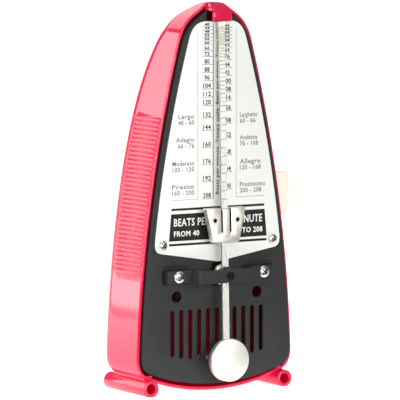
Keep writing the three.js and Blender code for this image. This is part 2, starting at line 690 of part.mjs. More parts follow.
// The key: a boss on the arbor's end and a flat paddle to turn it by.
function windingKey() {
  const half = 9.1;
  const flat = 42.2; // where the level edges turn down to the tip
  const side = 6.6; // where the tip's straight edge ends
  const shape = new THREE.Shape();
  shape.moveTo(34.6, -3.2).quadraticCurveTo(34.8, -half, 37.6, -half).lineTo(flat, -half);
  shape.quadraticCurveTo(KEY_TIP, -half, KEY_TIP, -side).lineTo(KEY_TIP, side);
  shape.quadraticCurveTo(KEY_TIP, half, flat, half).lineTo(37.6, half);
  shape.quadraticCurveTo(34.8, half, 34.6, 3.2);
  const paddle = alongY(shape, TRAIN_Y - 1.3, TRAIN_Y + 1.3, 5).translate([0, 0, BARREL_Z]);
  const boss = rodAlongX(TRAIN_Y, BARREL_Z, 3.1, 33.4, 39.4, 18);
  return union(paddle, boss).subtract(rodAlongX(TRAIN_Y, BARREL_Z, WIND_R + 0.05, 30, 37.8, 16));
}

function keyBush() {
  const wallX = 31.2;
  return cut(
    union(
      rodAlongX(TRAIN_Y, BARREL_Z, KEY_BUSH_R, wallX - 2.6, wallX + 1.2, 20),
      rodAlongX(TRAIN_Y, BARREL_Z, KEY_BUSH_R + 1, wallX - 3.8, wallX - 2.6, 20),
    ),
    rodAlongX(TRAIN_Y, BARREL_Z, WIND_R + BEARING_GAP, 20, 40, 16),
  );
}

const MID_WHEEL = { x0: 8.4, x1: 10 };

function midWheel() {
  let body = gearAlongX(WHEEL_TEETH, 0, MID_Z, MID_WHEEL.x0, MID_WHEEL.x1);
  const spokes = 5;
  for (let i = 0; i < spokes; i++) {
    const angle = ((i + 0.5) / spokes) * 2 * Math.PI;
    const hole = circle(TRAIN_Y + 6.8 * Math.cos(angle), MID_Z + 6.8 * Math.sin(angle), 2.9);
    body = body.subtract(alongX(hole, 0, 20, 5));
  }
  return body.subtract(rodAlongX(TRAIN_Y, MID_Z, 1.05, 0, 20, 12));
}

function midPinion() {
  const body = gearAlongX(PINION_TEETH, HALF_PINION_TOOTH, MID_Z, -6, -1.2);
  return body.subtract(rodAlongX(TRAIN_Y, MID_Z, 1.05, -20, 20, 12));
}

function escapePinion() {
  const body = gearAlongX(PINION_TEETH, HALF_PINION_TOOTH, PIVOT_Z, 7.6, 11.2);
  return body.subtract(rodAlongX(TRAIN_Y, PIVOT_Z, 1.05, -20, 20, 12));
}

const CROWN = { face: 2.6, valley: 5, back: 6.4, outer: 7.3, inner: 5.8 };

// The crown wheel: a cup whose rim is cut into leaning teeth that face the verge.
function crownWheel() {
  let body = rodAlongX(0, 0, CROWN.outer, CROWN.valley, CROWN.back, 30);
  body = body.subtract(rodAlongX(0, 0, CROWN.inner, CROWN.valley - 1, CROWN.back - 0.8, 30));
  const tooth = new THREE.Shape();
  tooth.moveTo(CROWN.face, 0.9).lineTo(CROWN.valley + 0.3, 0.9).lineTo(CROWN.valley + 0.3, -0.8);
  tooth.lineTo(CROWN.face, 0.55);
  const tall = CROWN.outer - CROWN.inner - 0.3;
  const options = { depth: tall, bevelEnabled: false };
  const cutter = new THREE.ExtrudeGeometry(tooth, options).rotateX(Math.PI / 2);
  const single = solidOf(cutter.translate(0, CROWN.outer - 0.1, 0));
  for (let i = 0; i < CROWN_TEETH; i++) body = body.add(single.rotate([(360 * i) / CROWN_TEETH, 0, 0]));
  const bore = rodAlongX(0, 0, 1.05, 0, 20, 12);
  return body.subtract(bore).translate([0, TRAIN_Y, PIVOT_Z]);
}

// ---------------------------------------------------------------- movement frame
const PILLARS = [
  [6.6, 92],
  [26, 92],
  [6.6, 40.6],
  [26, 40.6],
];
const PILLAR_R = 1.9;
const PILLAR_SCREW_R = 0.9;
const ESCAPE_WINDOW_R = 5.5; // hole in the left plate opposite the crown wheel
const COCK = { x0: 12.1, x1: 13.3, posts: [TRAIN_Y - 7.6, TRAIN_Y + 6] };
const COCK_SCREW_R = 0.6;

function sidePlate(side) {
  const [x0, x1] = [side * FRAME_X, side * (FRAME_X + FRAME_THICK)].sort((a, b) => a - b);
  let body = alongX(rectangle(3.8, 29, 37.8, 94.8), x0, x1);
  for (const height of MOUNT_POST.heights) {
    const [near, far] = [side * FRAME_X, side * (MOUNT_POST.x + 2.8)].sort((a, b) => a - b);
    const ear = block(near, far, MOUNT_POST.y - TOUCH - 1.4, MOUNT_POST.y - TOUCH, height - 3, height + 3);
    body = body.add(ear.subtract(rodAlongY(side * MOUNT_POST.x, height, 1.2, 20, 28, 10)));
  }
  const bores = [
    [TRAIN_Y, BARREL_Z, WIND_R + BEARING_GAP],
    [TRAIN_Y, MID_Z, 1 + BEARING_GAP],
  ];
  if (side > 0) bores.push([TRAIN_Y, PIVOT_Z, 1 + BEARING_GAP]);
  for (const [y, z] of PILLARS) bores.push([y, z, PILLAR_SCREW_R + TOUCH]);
  bores.push([REAR_COCK_Y, PIVOT_Z, COCK_SCREW_R + TOUCH]);
  if (side > 0) for (const y of COCK.posts) bores.push([y, PIVOT_Z, COCK_SCREW_R + TOUCH]);
  for (const [y, z, radius] of bores) body = body.subtract(rodAlongX(y, z, radius, x0 - 1, x1 + 1, 10));
  return side > 0 ? body : body.subtract(rodAlongX(TRAIN_Y, PIVOT_Z, ESCAPE_WINDOW_R, x0 - 1, x1 + 1, 20));
}

function pillar([y, z]) {
  const body = rodAlongX(y, z, PILLAR_R, -FRAME_X + TOUCH, FRAME_X - TOUCH, 12);
  const bore = (x0, x1) => rodAlongX(y, z, PILLAR_SCREW_R + TOUCH, x0, x1, 10);
  return cut(body, bore(-FRAME_X - 1, -FRAME_X + 5), bore(FRAME_X - 5, FRAME_X + 1));
}

// A cock that carries the escape arbor's inner bearing, on two posts from the right plate.
function escapeCock() {
  const shape = rectangle(TRAIN_Y - 9.6, TRAIN_Y + 8, PIVOT_Z - 2.6, PIVOT_Z + 2.6);
  let body = alongX(shape, COCK.x0, COCK.x1);
  for (const y of COCK.posts) {
    body = body.add(rodAlongX(y, PIVOT_Z, 1.8, COCK.x1 - 0.2, FRAME_X - TOUCH, 12));
    body = body.subtract(rodAlongX(y, PIVOT_Z, COCK_SCREW_R + TOUCH, COCK.x1, FRAME_X, 8));
  }
  return body.subtract(rodAlongX(TRAIN_Y, PIVOT_Z, 1 + BEARING_GAP, 0, 20, 12));
}

function rearCock() {
  const ends = FRAME_X - TOUCH;
  const bar = block(-ends, ends, REAR_COCK.y0, REAR_COCK.y1, PIVOT_Z - 3, PIVOT_Z + 3);
  const bore = COCK_SCREW_R + TOUCH;
  return cut(
    bar,
    rodAlongY(0, PIVOT_Z, 1.9, 20, 32, 14),
    rodAlongX(REAR_COCK_Y, PIVOT_Z, bore, -20, -ends + 3.5, 8),
    rodAlongX(REAR_COCK_Y, PIVOT_Z, bore, ends - 3.5, 20, 8),
  );
}

function rearBush() {
  return cut(
    rodAlongY(0, PIVOT_Z, 1.8, REAR_COCK.y0, REAR_COCK.y1, 14),
    rodAlongY(0, PIVOT_Z, ARBOR_R + BEARING_GAP, 20, 32, 20),
  );
}

// ---------------------------------------------------------------- finishes
function finish(color, roughness, metalness) {
  return new THREE.MeshStandardMaterial({ color, roughness, metalness });
}
const RED = finish(0xe8285a, 0.25, 0);
const BLACK = finish(0x3c3f3f, 0.6, 0);
const WHITE = finish(0xfbfcf8, 0.45, 0);
const IVORY = finish(0xf6f0dc, 0.35, 0);
const NICKEL = finish(0xe9e4d2, 0.25, 1);
const BRASS = finish(0xc9a24b, 0.3, 1);
const STEEL = finish(0x9a9ea3, 0.35, 1);

const metronome = new THREE.Group();

function addTo(group, name, shape, material) {
  const geometry = shape.isBufferGeometry ? shape : geometryOf(shape);
  const mesh = new THREE.Mesh(geometry, material);
  mesh.name = name;
  group.add(mesh);
  return mesh;
}
const add = (name, shape, material) => addTo(metronome, name, shape, material);

// Case
add("housing", housing(), RED);
add("front_panel", frontPanel(), BLACK);
add("scale_plate", scalePlate(), WHITE);
add("bridge", bridge(), BLACK);
add("key_bush", keyBush(), BRASS);
for (const [side, label] of [
  [-1, "left"],
  [1, "right"],
]) {
  const plateScrew = add(`plate_screw_${label}`, screw(2, 1.1, 1.15, 12, "cross", 12), NICKEL);
  plateScrew.position.set(side * SCREW_POST.x, PLATE_FRONT - 0.05, SCREW_POST.z);
  const bridgeScrew = add(`bridge_screw_${label}`, screw(2.45, 1.2, 1, 8.6, "cross", 12), NICKEL);
  bridgeScrew.position.set(side * BRIDGE_SCREW_X, -3.65, PIVOT_Z);
}

// Pendulum, in the rod's leaning frame
const rodFrame = new THREE.Group();
rodFrame.position.set(0, ROD_Y, PIVOT_Z);
rodFrame.rotation.x = -ROD_LEAN;
metronome.add(rodFrame);
addTo(rodFrame, "pendulum_rod", pendulumRod(), NICKEL);
addTo(rodFrame, "counterweight", counterweight(), NICKEL);
addTo(rodFrame, "back_weight", backWeight(), STEEL);
addTo(rodFrame, "weight_rivet", weightRivet(), STEEL);
addTo(rodFrame, "slider_body", sliderBody(), NICKEL);
addTo(rodFrame, "slider_spring", sliderSpring(), STEEL);
addTo(rodFrame, "slider_rivet_left", sliderRivet(-1), STEEL);
addTo(rodFrame, "slider_rivet_right", sliderRivet(1), STEEL);
add("pendulum_hub", hub(), NICKEL);
add("pendulum_arbor", pendulumArbor(), STEEL);
add("pallet_front", pallet(-1), STEEL);
add("pallet_rear", pallet(1), STEEL);

// Winding and barrel
add("winding_key", windingKey(), IVORY);
add("winding_arbor", windingArbor(), STEEL);
add("ratchet_wheel", ratchetWheel(), STEEL);
add("click", click(), STEEL);
add("click_screw", clickScrew(), STEEL);
add("click_spring", clickSpring(), STEEL);
add("barrel", barrel(), BRASS);
add("barrel_cover", barrelCover(), BRASS);
add("mainspring", mainspring(), STEEL);

// Train
add("intermediate_arbor", rodAlongX(TRAIN_Y, MID_Z, 1, -FRAME_X - FRAME_THICK, FRAME_X + FRAME_THICK, 12), STEEL);
add("intermediate_pinion", midPinion(), STEEL);
add("intermediate_wheel", midWheel(), BRASS);
add("escape_arbor", rodAlongX(TRAIN_Y, PIVOT_Z, 1, CROWN.valley + 0.4, FRAME_X + FRAME_THICK, 12), STEEL);
add("escape_pinion", escapePinion(), STEEL);
add("crown_wheel", crownWheel(), BRASS);
add("escape_cock", escapeCock(), BRASS);
add("rear_cock", rearCock(), BRASS);
add("rear_bush", rearBush(), BRASS);

// Movement frame and its screws
add("left_plate", sidePlate(-1), BRASS);
add("right_plate", sidePlate(1), BRASS);
PILLARS.forEach((place, index) => {
  add(`pillar_${index + 1}`, pillar(place), BRASS);
  const pillarScrew = add(`pillar_screw_${index + 1}`, screw(1.8, 0.9, PILLAR_SCREW_R, 5, "slot", 10), STEEL);
  pillarScrew.rotation.z = Math.PI / 2;
  pillarScrew.position.set(FRAME_X + FRAME_THICK + 0.05, place[0], place[1]);
});
for (const [side, label] of [
  [-1, "left"],
  [1, "right"],
])
  MOUNT_POST.heights.forEach((height, index) => {
    const level = ["lower", "upper"][index];
    const name = `mounting_screw_${level}_${label}`;
    const mountScrew = add(name, screw(2, 0.9, 0.9, 5, "slot", 10), STEEL);
    mountScrew.position.set(side * MOUNT_POST.x, MOUNT_POST.y - TOUCH - 1.45, height);
  });

// Screws of the two cocks, through the plates from outside
function sideScrew(name, side, y, z) {
  const small = add(name, screw(1.25, 0.7, COCK_SCREW_R, FRAME_THICK + 1.8, "slot", 8), STEEL);
  small.rotation.z = (side * Math.PI) / 2;
  small.position.set(side * (FRAME_X + FRAME_THICK + 0.05), y, z);
}
sideScrew("rear_cock_screw_left", -1, REAR_COCK_Y, PIVOT_Z);
sideScrew("rear_cock_screw_right", 1, REAR_COCK_Y, PIVOT_Z);
sideScrew("escape_cock_screw_front", 1, COCK.posts[0], PIVOT_Z);
sideScrew("escape_cock_screw_rear", 1, COCK.posts[1], PIVOT_Z);

// The origin is under the middle of the whole object, on the table.
const bounds = new THREE.Box3().setFromObject(metronome, true);
const middle = bounds.getCenter(new THREE.Vector3());
metronome.position.set(-middle.x, -middle.y, -bounds.min.z);

export default metronome;
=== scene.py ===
"""A pocket metronome: fine surfaces, printed scale, finishes and a soft white studio.

Shapes are drawn in millimetres on the design's own axes and then moved into the frame. X = 0 is the
upright plane through the pivot, Y = 0 is the front panel's face with the front towards -Y, and Z = 0
is the table. The pendulum's pieces are drawn in the rod's leaning axes, from the pivot.
"""

import json
import math

import bmesh
import bpy
from mathutils import Matrix, Vector
from mathutils.geometry import tessellate_polygon


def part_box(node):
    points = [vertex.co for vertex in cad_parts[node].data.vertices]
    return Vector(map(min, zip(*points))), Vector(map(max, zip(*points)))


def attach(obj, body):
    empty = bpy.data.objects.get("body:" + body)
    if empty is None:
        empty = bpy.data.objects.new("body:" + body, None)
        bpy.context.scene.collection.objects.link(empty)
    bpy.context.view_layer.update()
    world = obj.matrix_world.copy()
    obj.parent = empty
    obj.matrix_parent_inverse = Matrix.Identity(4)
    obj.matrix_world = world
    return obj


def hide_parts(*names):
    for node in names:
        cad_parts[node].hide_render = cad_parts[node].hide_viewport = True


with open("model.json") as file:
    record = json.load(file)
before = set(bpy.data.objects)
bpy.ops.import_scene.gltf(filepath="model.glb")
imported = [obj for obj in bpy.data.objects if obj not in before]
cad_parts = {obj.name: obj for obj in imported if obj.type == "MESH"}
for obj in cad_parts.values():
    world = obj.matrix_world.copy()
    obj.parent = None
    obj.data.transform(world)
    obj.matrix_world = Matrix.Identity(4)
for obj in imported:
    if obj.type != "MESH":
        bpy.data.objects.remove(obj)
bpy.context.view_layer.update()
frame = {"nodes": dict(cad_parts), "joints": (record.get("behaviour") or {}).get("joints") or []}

# -------------------------------- places taken from the frame
MM = 0.001
JOINTS = {joint["name"]: joint for joint in frame["joints"]}
PIVOT = Vector(JOINTS["pendulum_swing"]["pos_m"])
ORIGIN = Vector((PIVOT.x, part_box("front_panel")[0].y, 0))
TO_FRAME = Matrix.Translation(ORIGIN) @ Matrix.Scale(MM, 4)


def span(node):
    """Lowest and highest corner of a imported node, in design millimetres."""
    return tuple((corner - ORIGIN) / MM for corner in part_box(node))


PIVOT_Z = PIVOT.z / MM
TRAIN_Y = (JOINTS["key_wind"]["pos_m"][1] - ORIGIN.y) / MM
BARREL_Z = JOINTS["key_wind"]["pos_m"][2] / MM
ROD_LEAN = math.asin(JOINTS["slider_slide"]["axis"][1])
HEIGHT = span("housing")[1].z
PANEL_BACK = 5.6
PLATE_FRONT = span("scale_plate")[0].y
PLATE_BACK = span("scale_plate")[1].y
PLATE_TOP = span("scale_plate")[1].z
BRIDGE_LOW, BRIDGE_HIGH = span("bridge")
KEY_LOW, KEY_HIGH = span("winding_key")

# -------------------------------- the housing's driving dimensions
LIP_BOTTOM = 0.6
RIM_Y = 1.9
DEPTH = 31.1
DOME_START = 50
DOME_SPAN = 110.2
DOME_POWER = 4.2
BACK_RADIUS = 8
CROWN_RADIUS = 2.1
CROWN_START = 149
WALL = 1.4
RIM_ROUND = 0.45
LIP_ROUND = 0.4
ROUND_STEPS = 5
CORNER_STEPS = 10
CORNER_SHARE = {"width": 0.9, "depth": 0.8}  # the most of a level section that a back corner takes

GRIP_BOTTOM = 49.3
GRIP_TOP = 113.5
GRIP_RIBS = 36
GRIP_PROUD = 0.42
GRIP_FRONT = RIM_Y + 0.6
GRIP_BACK = RIM_Y + DEPTH - BACK_RADIUS - 2.6
GRIP_SPARE = 0.5  # plain wall left behind the ribs where the housing is shallow
RIB_STEPS = 8
BELOW_GRIP_STEPS = 12
ABOVE_GRIP_STEPS = 10
RIB_RUN = 0.4

FOOT = {"x": 31.9, "z": 3.3, "radius": 3.5, "bore": 2.1, "front": -1.4, "back": 32.3, "flare": 1.2}
FOOT_WEB = {"near": 29.6, "far": 33.2, "low": 4.5, "high": 8.3, "front": 0.6, "short": 6}
PLATE_POST = {"x": 26.2, "z": 61.7, "radius": 3, "bore": 1.25, "drilled": 12, "gap": 0.3}
MOUNT_POST = {"x": 21.6, "y": 25.2, "radius": 2.6, "bore": 1, "drilled": 4, "heights": (45.8, 86.8)}
KEY_HOLE = {"radius": 4.1, "near": 25, "far": 40}
TAB = {"half": 4.6, "bottom": 152.3, "front": -4.5, "bend": 155.6, "round": 0.9, "edge": 0.35}
# Where the tab starts behind the rim, ends below the apex and would narrow to nothing above it.
TAB_TOP = {"root": 1.2, "sink": 0.3, "vanish": 0.3, "taper": 5, "lap": 0.1, "share": 0.8}
TAB_POCKET = {"lip": 0.75, "tall": 4.4, "spare": 0.1}
BELOW_TABLE = (-40, 40, -10, 50, -5, 0)

# -------------------------------- meshes in millimetres
AXES = {
    "X": lambda u, v, w: (w, u, v),
    "Y": lambda u, v, w: (u, w, v),
    "Z": lambda u, v, w: (u, v, w),
}
WELD = 1e-4


def mesh_piece(name, points, faces):
    """An object from points and faces, with shared points merged and faces turned outwards."""
    mesh = bpy.data.meshes.new(name)
    mesh.from_pydata([tuple(point) for point in points], [], faces)
    build = bmesh.new()
    build.from_mesh(mesh)
    bmesh.ops.remove_doubles(build, verts=build.verts, dist=WELD)
    bmesh.ops.recalc_face_normals(build, faces=build.faces)
    build.to_mesh(mesh)
    build.free()
    piece = bpy.data.objects.new(name, mesh)
    bpy.context.scene.collection.objects.link(piece)
    return piece


def skin(rings, closed=True):
    """Points of rings of equal size, and the faces between each ring and the next."""
    size = len(rings[0])
    points = [point for ring in rings for point in ring]
    faces = []
    for r in range(len(rings) - 1):
        for i in range(size if closed else size - 1):
            j = (i + 1) % size
            low, high = r * size, (r + 1) * size
            faces.append((low + i, low + j, high + j, high + i))
    return points, faces


def capped(name, rings):
    """A closed body from rings, with a flat face over the first and the last."""
    points, faces = skin(rings)
    size = len(rings[0])
    last = len(points) - size
    faces.append(tuple(range(size)))
    faces.append(tuple(range(last, len(points))))
    return mesh_piece(name, points, faces)


def signed_area(points):
    return sum(a.x * b.y - b.x * a.y for a, b in zip(points, points[1:] + points[:1])) / 2


def inset(points, distance):
    """A closed outline moved to its left, mitred at each corner."""
    moved = []
    for i, here in enumerate(points):
        a = (here - points[i - 1]).normalized()
        b = (points[(i + 1) % len(points)] - here).normalized()
        left_a, left_b = Vector((-a.y, a.x)), Vector((-b.y, b.x))
        mitre = (left_a + left_b) / max(0.4, 1 + left_a.dot(left_b))
        moved.append(here + mitre * distance)
    return moved


def rounded_edge(radius, steps):
    """Inset and depth of each level of a rounded edge, from the face to the side."""
    if radius == 0:
        return [(0, 0)]
    turns = [math.pi / 2 * i / steps for i in range(steps + 1)]
    return [(radius * (1 - math.sin(turn)), radius * (1 - math.cos(turn))) for turn in turns]


def slab(name, outlines, low, high, near=0.0, far=0.0, axis="Y", steps=3):
    """A flat body: the first outline with the others as holes, its edges rounded at low and high."""
    loops = []
    for index, points in enumerate(outlines):
        outwards = signed_area(points) > 0
        loops.append(points if outwards == (index == 0) else points[::-1])
    levels = [(inwards, low + deep) for inwards, deep in rounded_edge(near, steps)]
    levels += [(inwards, high - deep) for inwards, deep in reversed(rounded_edge(far, steps))]
    place = AXES[axis]
    points, faces = [], []
    total = sum(len(loop) for loop in loops)
    for level, (inwards, w) in enumerate(levels):
        for loop in loops:
            start = len(points)
            size = len(loop)
            points += [place(p.x, p.y, w) for p in inset(loop, inwards)]
            if level + 1 < len(levels):
                for i in range(size):
                    j = (i + 1) % size
                    low_i, low_j = start + i, start + j
                    faces.append((low_i, low_j, low_j + total, low_i + total))
    for level in (0, len(levels) - 1):
        flat = [[Vector((p.x, p.y, 0)) for p in inset(loop, levels[level][0])] for loop in loops]
        for triangle in tessellate_polygon(flat):
            faces.append(tuple(level * total + corner for corner in triangle))
    return mesh_piece(name, points, faces)


def lathe(name, profile, centre=(0, 0, 0), axis="Y", segments=48, tube=False):
    """A profile of (radius, height) turned about an axis; a tube's profile closes on itself."""
    place = AXES[axis]
    rings = []
    for radius, height in profile + (profile[:1] if tube else []):
        turns = [2 * math.pi * i / segments for i in range(segments)]
        ring = [place(radius * math.cos(turn), radius * math.sin(turn), height) for turn in turns]
        rings.append([Vector(point) + Vector(centre) for point in ring])
    points, faces = skin(rings)
    return mesh_piece(name, points, faces)


def pin(radius, low, high, centre=(0, 0, 0), axis="Y", segments=32, near=0.0, far=0.0):
    """A round bar along an axis, its two edges rounded."""
    profile = [(0, low)]
    profile += [(radius - inwards, low + deep) for inwards, deep in rounded_edge(near, 4)]
    profile += [(radius - inwards, high - deep) for inwards, deep in reversed(rounded_edge(far, 4))]
    profile.append((0, high))
    return lathe("pin", profile, centre, axis, segments)


def block(x0, x1, y0, y1, z0, z1):
    corners = [Vector((x0, y0)), Vector((x1, y0)), Vector((x1, y1)), Vector((x0, y1))]
    return slab("block", [corners], z0, z1, axis="Z")


def combine(target, tools, operation):
    """The target cut by or joined with each tool in turn; the tools are used up."""
    for tool in tools:
        step = target.modifiers.new("step", "BOOLEAN")
        step.operation = operation
        step.solver = "MANIFOLD"
        step.object = tool
        result = target.evaluated_get(bpy.context.evaluated_depsgraph_get())
        mesh = bpy.data.meshes.new_from_object(result)
        target.modifiers.clear()
        target.data = mesh
        bpy.data.objects.remove(tool)
    return target


def cut(target, *tools):
    return combine(target, tools, "DIFFERENCE")


def join(target, *tools):
    return combine(target, tools, "UNION")


def circle(x, y, radius, segments=32):
    turns = [2 * math.pi * i / segments for i in range(segments)]
    return [Vector((x + radius * math.cos(turn), y + radius * math.sin(turn))) for turn in turns]


def rounded(corners, steps=6):
    """A closed outline from (x, y, radius) corners, each turned by an arc."""
    points = []
    for i, (x, y, radius) in enumerate(corners):
        here = Vector((x, y))
        if radius == 0:
            points.append(here)
            continue
        back = (Vector(corners[i - 1][:2]) - here).normalized()
        on = (Vector(corners[(i + 1) % len(corners)][:2]) - here).normalized()
        half = back.angle(on) / 2
        centre = here + (back + on).normalized() * radius / math.sin(half)
        start = here + back * radius / math.tan(half) - centre
        end = here + on * radius / math.tan(half) - centre
        first = math.atan2(start.y, start.x)
        sweep = (math.atan2(end.y, end.x) - first + math.pi) % (2 * math.pi) - math.pi
        for k in range(steps + 1):
            turn = first + sweep * k / steps
            points.append(centre + radius * Vector((math.cos(turn), math.sin(turn))))
    return points


def finished(piece, body, material, nodes=(), angle=32, axes=TO_FRAME):
    """Moves a drawn piece into the frame, gives it its body and finish, and hides the imported nodes it
    stands for.
    """
    mesh = piece.data
    mesh.transform(axes)
    mesh.shade_smooth()
    mesh.set_sharp_from_angle(angle=math.radians(angle))
    mesh.materials.clear()
    mesh.materials.append(material)
    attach(piece, body)
    if nodes:
        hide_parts(*nodes)
    return piece


# -------------------------------- finishes
def noise(nodes, links, vector, size, detail=3.0):
    """Noise whose features are about size metres across."""
    made = nodes.new("ShaderNodeTexNoise")
    made.inputs["Scale"].default_value = 1 / size
    made.inputs["Detail"].default_value = detail
    links.new(vector, made.inputs["Vector"])
    return made.outputs["Fac"]


NOISE_SPREAD = (0.3, 0.7)  # nearly all of the noise lies between these


def surface(name, colour, rough, patch, grain, height, shade=0.05, stretch=(1, 1, 1), **sockets):
    """A finish whose colour, roughness and relief vary: patch and grain are sizes in metres.

    rough is the range of roughness, height the relief's depth in metres, and shade how far the colour
    moves each way.
    """
    made = bpy.data.materials.new(name)
    made.use_nodes = True
    nodes, links = made.node_tree.nodes, made.node_tree.links
    shader = nodes["Principled BSDF"]
    for socket, value in sockets.items():
        shader.inputs[socket.replace("_", " ")].default_value = value
    place = nodes.new("ShaderNodeTexCoord")
    mapping = nodes.new("ShaderNodeMapping")
    mapping.inputs["Scale"].default_value = stretch
    links.new(place.outputs["Object"], mapping.inputs["Vector"])
    vector = mapping.outputs["Vector"]
    clouds = noise(nodes, links, vector, patch)
    fine = noise(nodes, links, vector, grain, 2.0)
    ramp = nodes.new("ShaderNodeValToRGB")
    for stop, place_at, factor in zip(ramp.color_ramp.elements, NOISE_SPREAD, (1 - shade, 1 + shade)):
        stop.position = place_at
        stop.color = (*(min(1, channel * factor) for channel in colour), 1)
    links.new(clouds, ramp.inputs["Fac"])
    links.new(ramp.outputs["Color"], shader.inputs["Base Color"])
    spread = nodes.new("ShaderNodeMapRange")
    spread.inputs["From Min"].default_value = NOISE_SPREAD[0]
    spread.inputs["From Max"].default_value = NOISE_SPREAD[1]
    spread.inputs["To Min"].default_value = rough[0]
    spread.inputs["To Max"].default_value = rough[1]
    links.new(fine, spread.inputs["Value"])
    links.new(spread.outputs["Result"], shader.inputs["Roughness"])
    bump = nodes.new("ShaderNodeBump")
    bump.inputs["Distance"].default_value = height
    links.new(fine, bump.inputs["Height"])
    links.new(bump.outputs["Normal"], shader.inputs["Normal"])
    return made


# A Mix node's colour sockets, which share their names with its number and vector sockets.
MIX_INPUTS = (6, 7)
MIX_OUTPUT = 2


def tint(material, amount):
    """Multiplies a finish's colour by a socket's value."""
    nodes, links = material.node_tree.nodes, material.node_tree.links
    shader = nodes["Principled BSDF"]
    colour = shader.inputs["Base Color"].links[0].from_socket
    mix = nodes.new("ShaderNodeMix")
    mix.data_type = "RGBA"
    mix.blend_type = "MULTIPLY"
    mix.inputs["Factor"].default_value = 1
    for index, source in zip(MIX_INPUTS, (colour, amount)):
        links.new(source, mix.inputs[index])
    links.new(mix.outputs[MIX_OUTPUT], shader.inputs["Base Color"])


CREVICE_OPEN = (0.3, 0.7)  # shares of open sky over which a crevice goes from dark to clear


def shade_crevices(material, reach, darkest):
    """Darkens a finish where other surfaces stand within reach metres of it."""
    nodes, links = material.node_tree.nodes, material.node_tree.links
    closeness = nodes.new("ShaderNodeAmbientOcclusion")
    closeness.inputs["Distance"].default_value = reach
    level = nodes.new("ShaderNodeMapRange")
    for socket, share in zip(("From Min", "From Max"), CREVICE_OPEN):
        level.inputs[socket].default_value = share
    level.inputs["To Min"].default_value = darkest
    links.new(closeness.outputs["AO"], level.inputs["Value"])
    tint(material, level.outputs["Result"])


def compute(material, operation, first, second):
    """The result of a Math node whose two inputs are sockets or numbers."""
    made = material.node_tree.nodes.new("ShaderNodeMath")
    made.operation = operation
    for socket, value in zip(made.inputs, (first, second)):
        if isinstance(value, (int, float)):
            socket.default_value = value
        else:
            material.node_tree.links.new(value, socket)
    return made.outputs["Value"]


def axes_of(material, node, output):
    """The X, Y and Z of a place on the piece or of the way its surface faces."""
    nodes, links = material.node_tree.nodes, material.node_tree.links
    parts = nodes.new("ShaderNodeSeparateXYZ")
    links.new(nodes.new(node).outputs[output], parts.inputs["Vector"])
    return [parts.outputs[axis] for axis in "XYZ"]


SIDEWAYS = 0.6  # how far a surface's direction leans to X before it counts as a side wall


def dull_grips(material, extra):
    """Adds roughness on the side walls over the height of the ribs."""
    links = material.node_tree.links
    shader = material.node_tree.nodes["Principled BSDF"]
    rough = shader.inputs["Roughness"].links[0].from_socket
    height = axes_of(material, "ShaderNodeTexCoord", "Object")[2]
    across = axes_of(material, "ShaderNodeNewGeometry", "True Normal")[0]
    above = compute(material, "GREATER_THAN", height, GRIP_BOTTOM * MM)
    below = compute(material, "LESS_THAN", height, GRIP_TOP * MM)
    side = compute(material, "GREATER_THAN", compute(material, "ABSOLUTE", across, 0), SIDEWAYS)
    mask = compute(material, "MULTIPLY", compute(material, "MULTIPLY", above, below), side)
    more = compute(material, "MULTIPLY", mask, extra)
    links.new(compute(material, "ADD", rough, more), shader.inputs["Roughness"])


CASE_MIDDLE = (0, 15, 70)
ABOVE_FEET = 8.5  # height in the frame, clear of the feet


def shade_inside(material, factor):
    """Darkens the housing's inner surfaces: those above the feet that face its middle."""
    places = axes_of(material, "ShaderNodeTexCoord", "Object")
    facings = axes_of(material, "ShaderNodeNewGeometry", "True Normal")
    middle = ORIGIN + Vector(CASE_MIDDLE) * MM
    outwards = 0
    for place, facing, centre in zip(places, facings, middle):
        away = compute(material, "SUBTRACT", place, centre)
        outwards = compute(material, "ADD", outwards, compute(material, "MULTIPLY", away, facing))
    inside = compute(material, "LESS_THAN", outwards, 0)
    high = compute(material, "GREATER_THAN", places[2], ABOVE_FEET * MM)
    mask = compute(material, "MULTIPLY", inside, high)
    tint(material, compute(material, "SUBTRACT", 1, compute(material, "MULTIPLY", mask, 1 - factor)))


RED = surface(
    "raspberry_plastic",
    (0.7, 0.0105, 0.066),
    (0.06, 0.1),
    0.02,
    0.004,
    0.000003,
    0.03,
    Subsurface_Weight=0.3,
    Subsurface_Radius=(1, 0.12, 0.16),
    Subsurface_Scale=0.004,
)
BLACK = surface(
    "anthracite_plastic",
    (0.022, 0.025, 0.024),
    (0.5, 0.62),
    0.012,
    0.0005,
    0.00003,
    0.08,
    Specular_IOR_Level=0.25,
)
WHITE = surface("white_sheet", (0.83, 0.85, 0.8), (0.38, 0.46), 0.03, 0.0015, 0.000004, 0.02)
IVORY = surface("ivory_plastic", (0.89, 0.86, 0.74), (0.25, 0.33), 0.01, 0.003, 0.000005, 0.03)
NICKEL = surface("nickel_plate", (0.8, 0.78, 0.7), (0.2, 0.3), 0.004, 0.0004, 0.000003, Metallic=1)
SATIN = surface("satin_nickel", (0.93, 0.92, 0.84), (0.32, 0.42), 0.006, 0.00025, 0.000004, Metallic=1)
BRUSHED = surface(
    "brushed_strip",
    (0.95, 0.94, 0.87),
    (0.26, 0.4),
    0.01,
    0.0002,
    0.000004,
    stretch=(1, 1, 0.03),
    Metallic=1,
)
CAST = surface("satin_alloy", (0.9, 0.88, 0.78), (0.3, 0.44), 0.005, 0.0003, 0.000008, Metallic=1)
BRASS = surface("turned_brass", (0.72, 0.5, 0.2), (0.24, 0.36), 0.004, 0.0003, 0.000003, Metallic=1)
STEEL = surface("bright_steel", (0.55, 0.56, 0.58), (0.25, 0.38), 0.004, 0.0003, 0.000003, Metallic=1)
# Steel painted dark: painted shade for the bridge's pivot recess and the slider's rivet holes.
SHADE_DARK_STEEL = surface(
    "steel_painted_dark_for_shade", (0.02, 0.02, 0.02), (0.4, 0.55), 0.002, 0.0003, 0.000004, Metallic=1
)
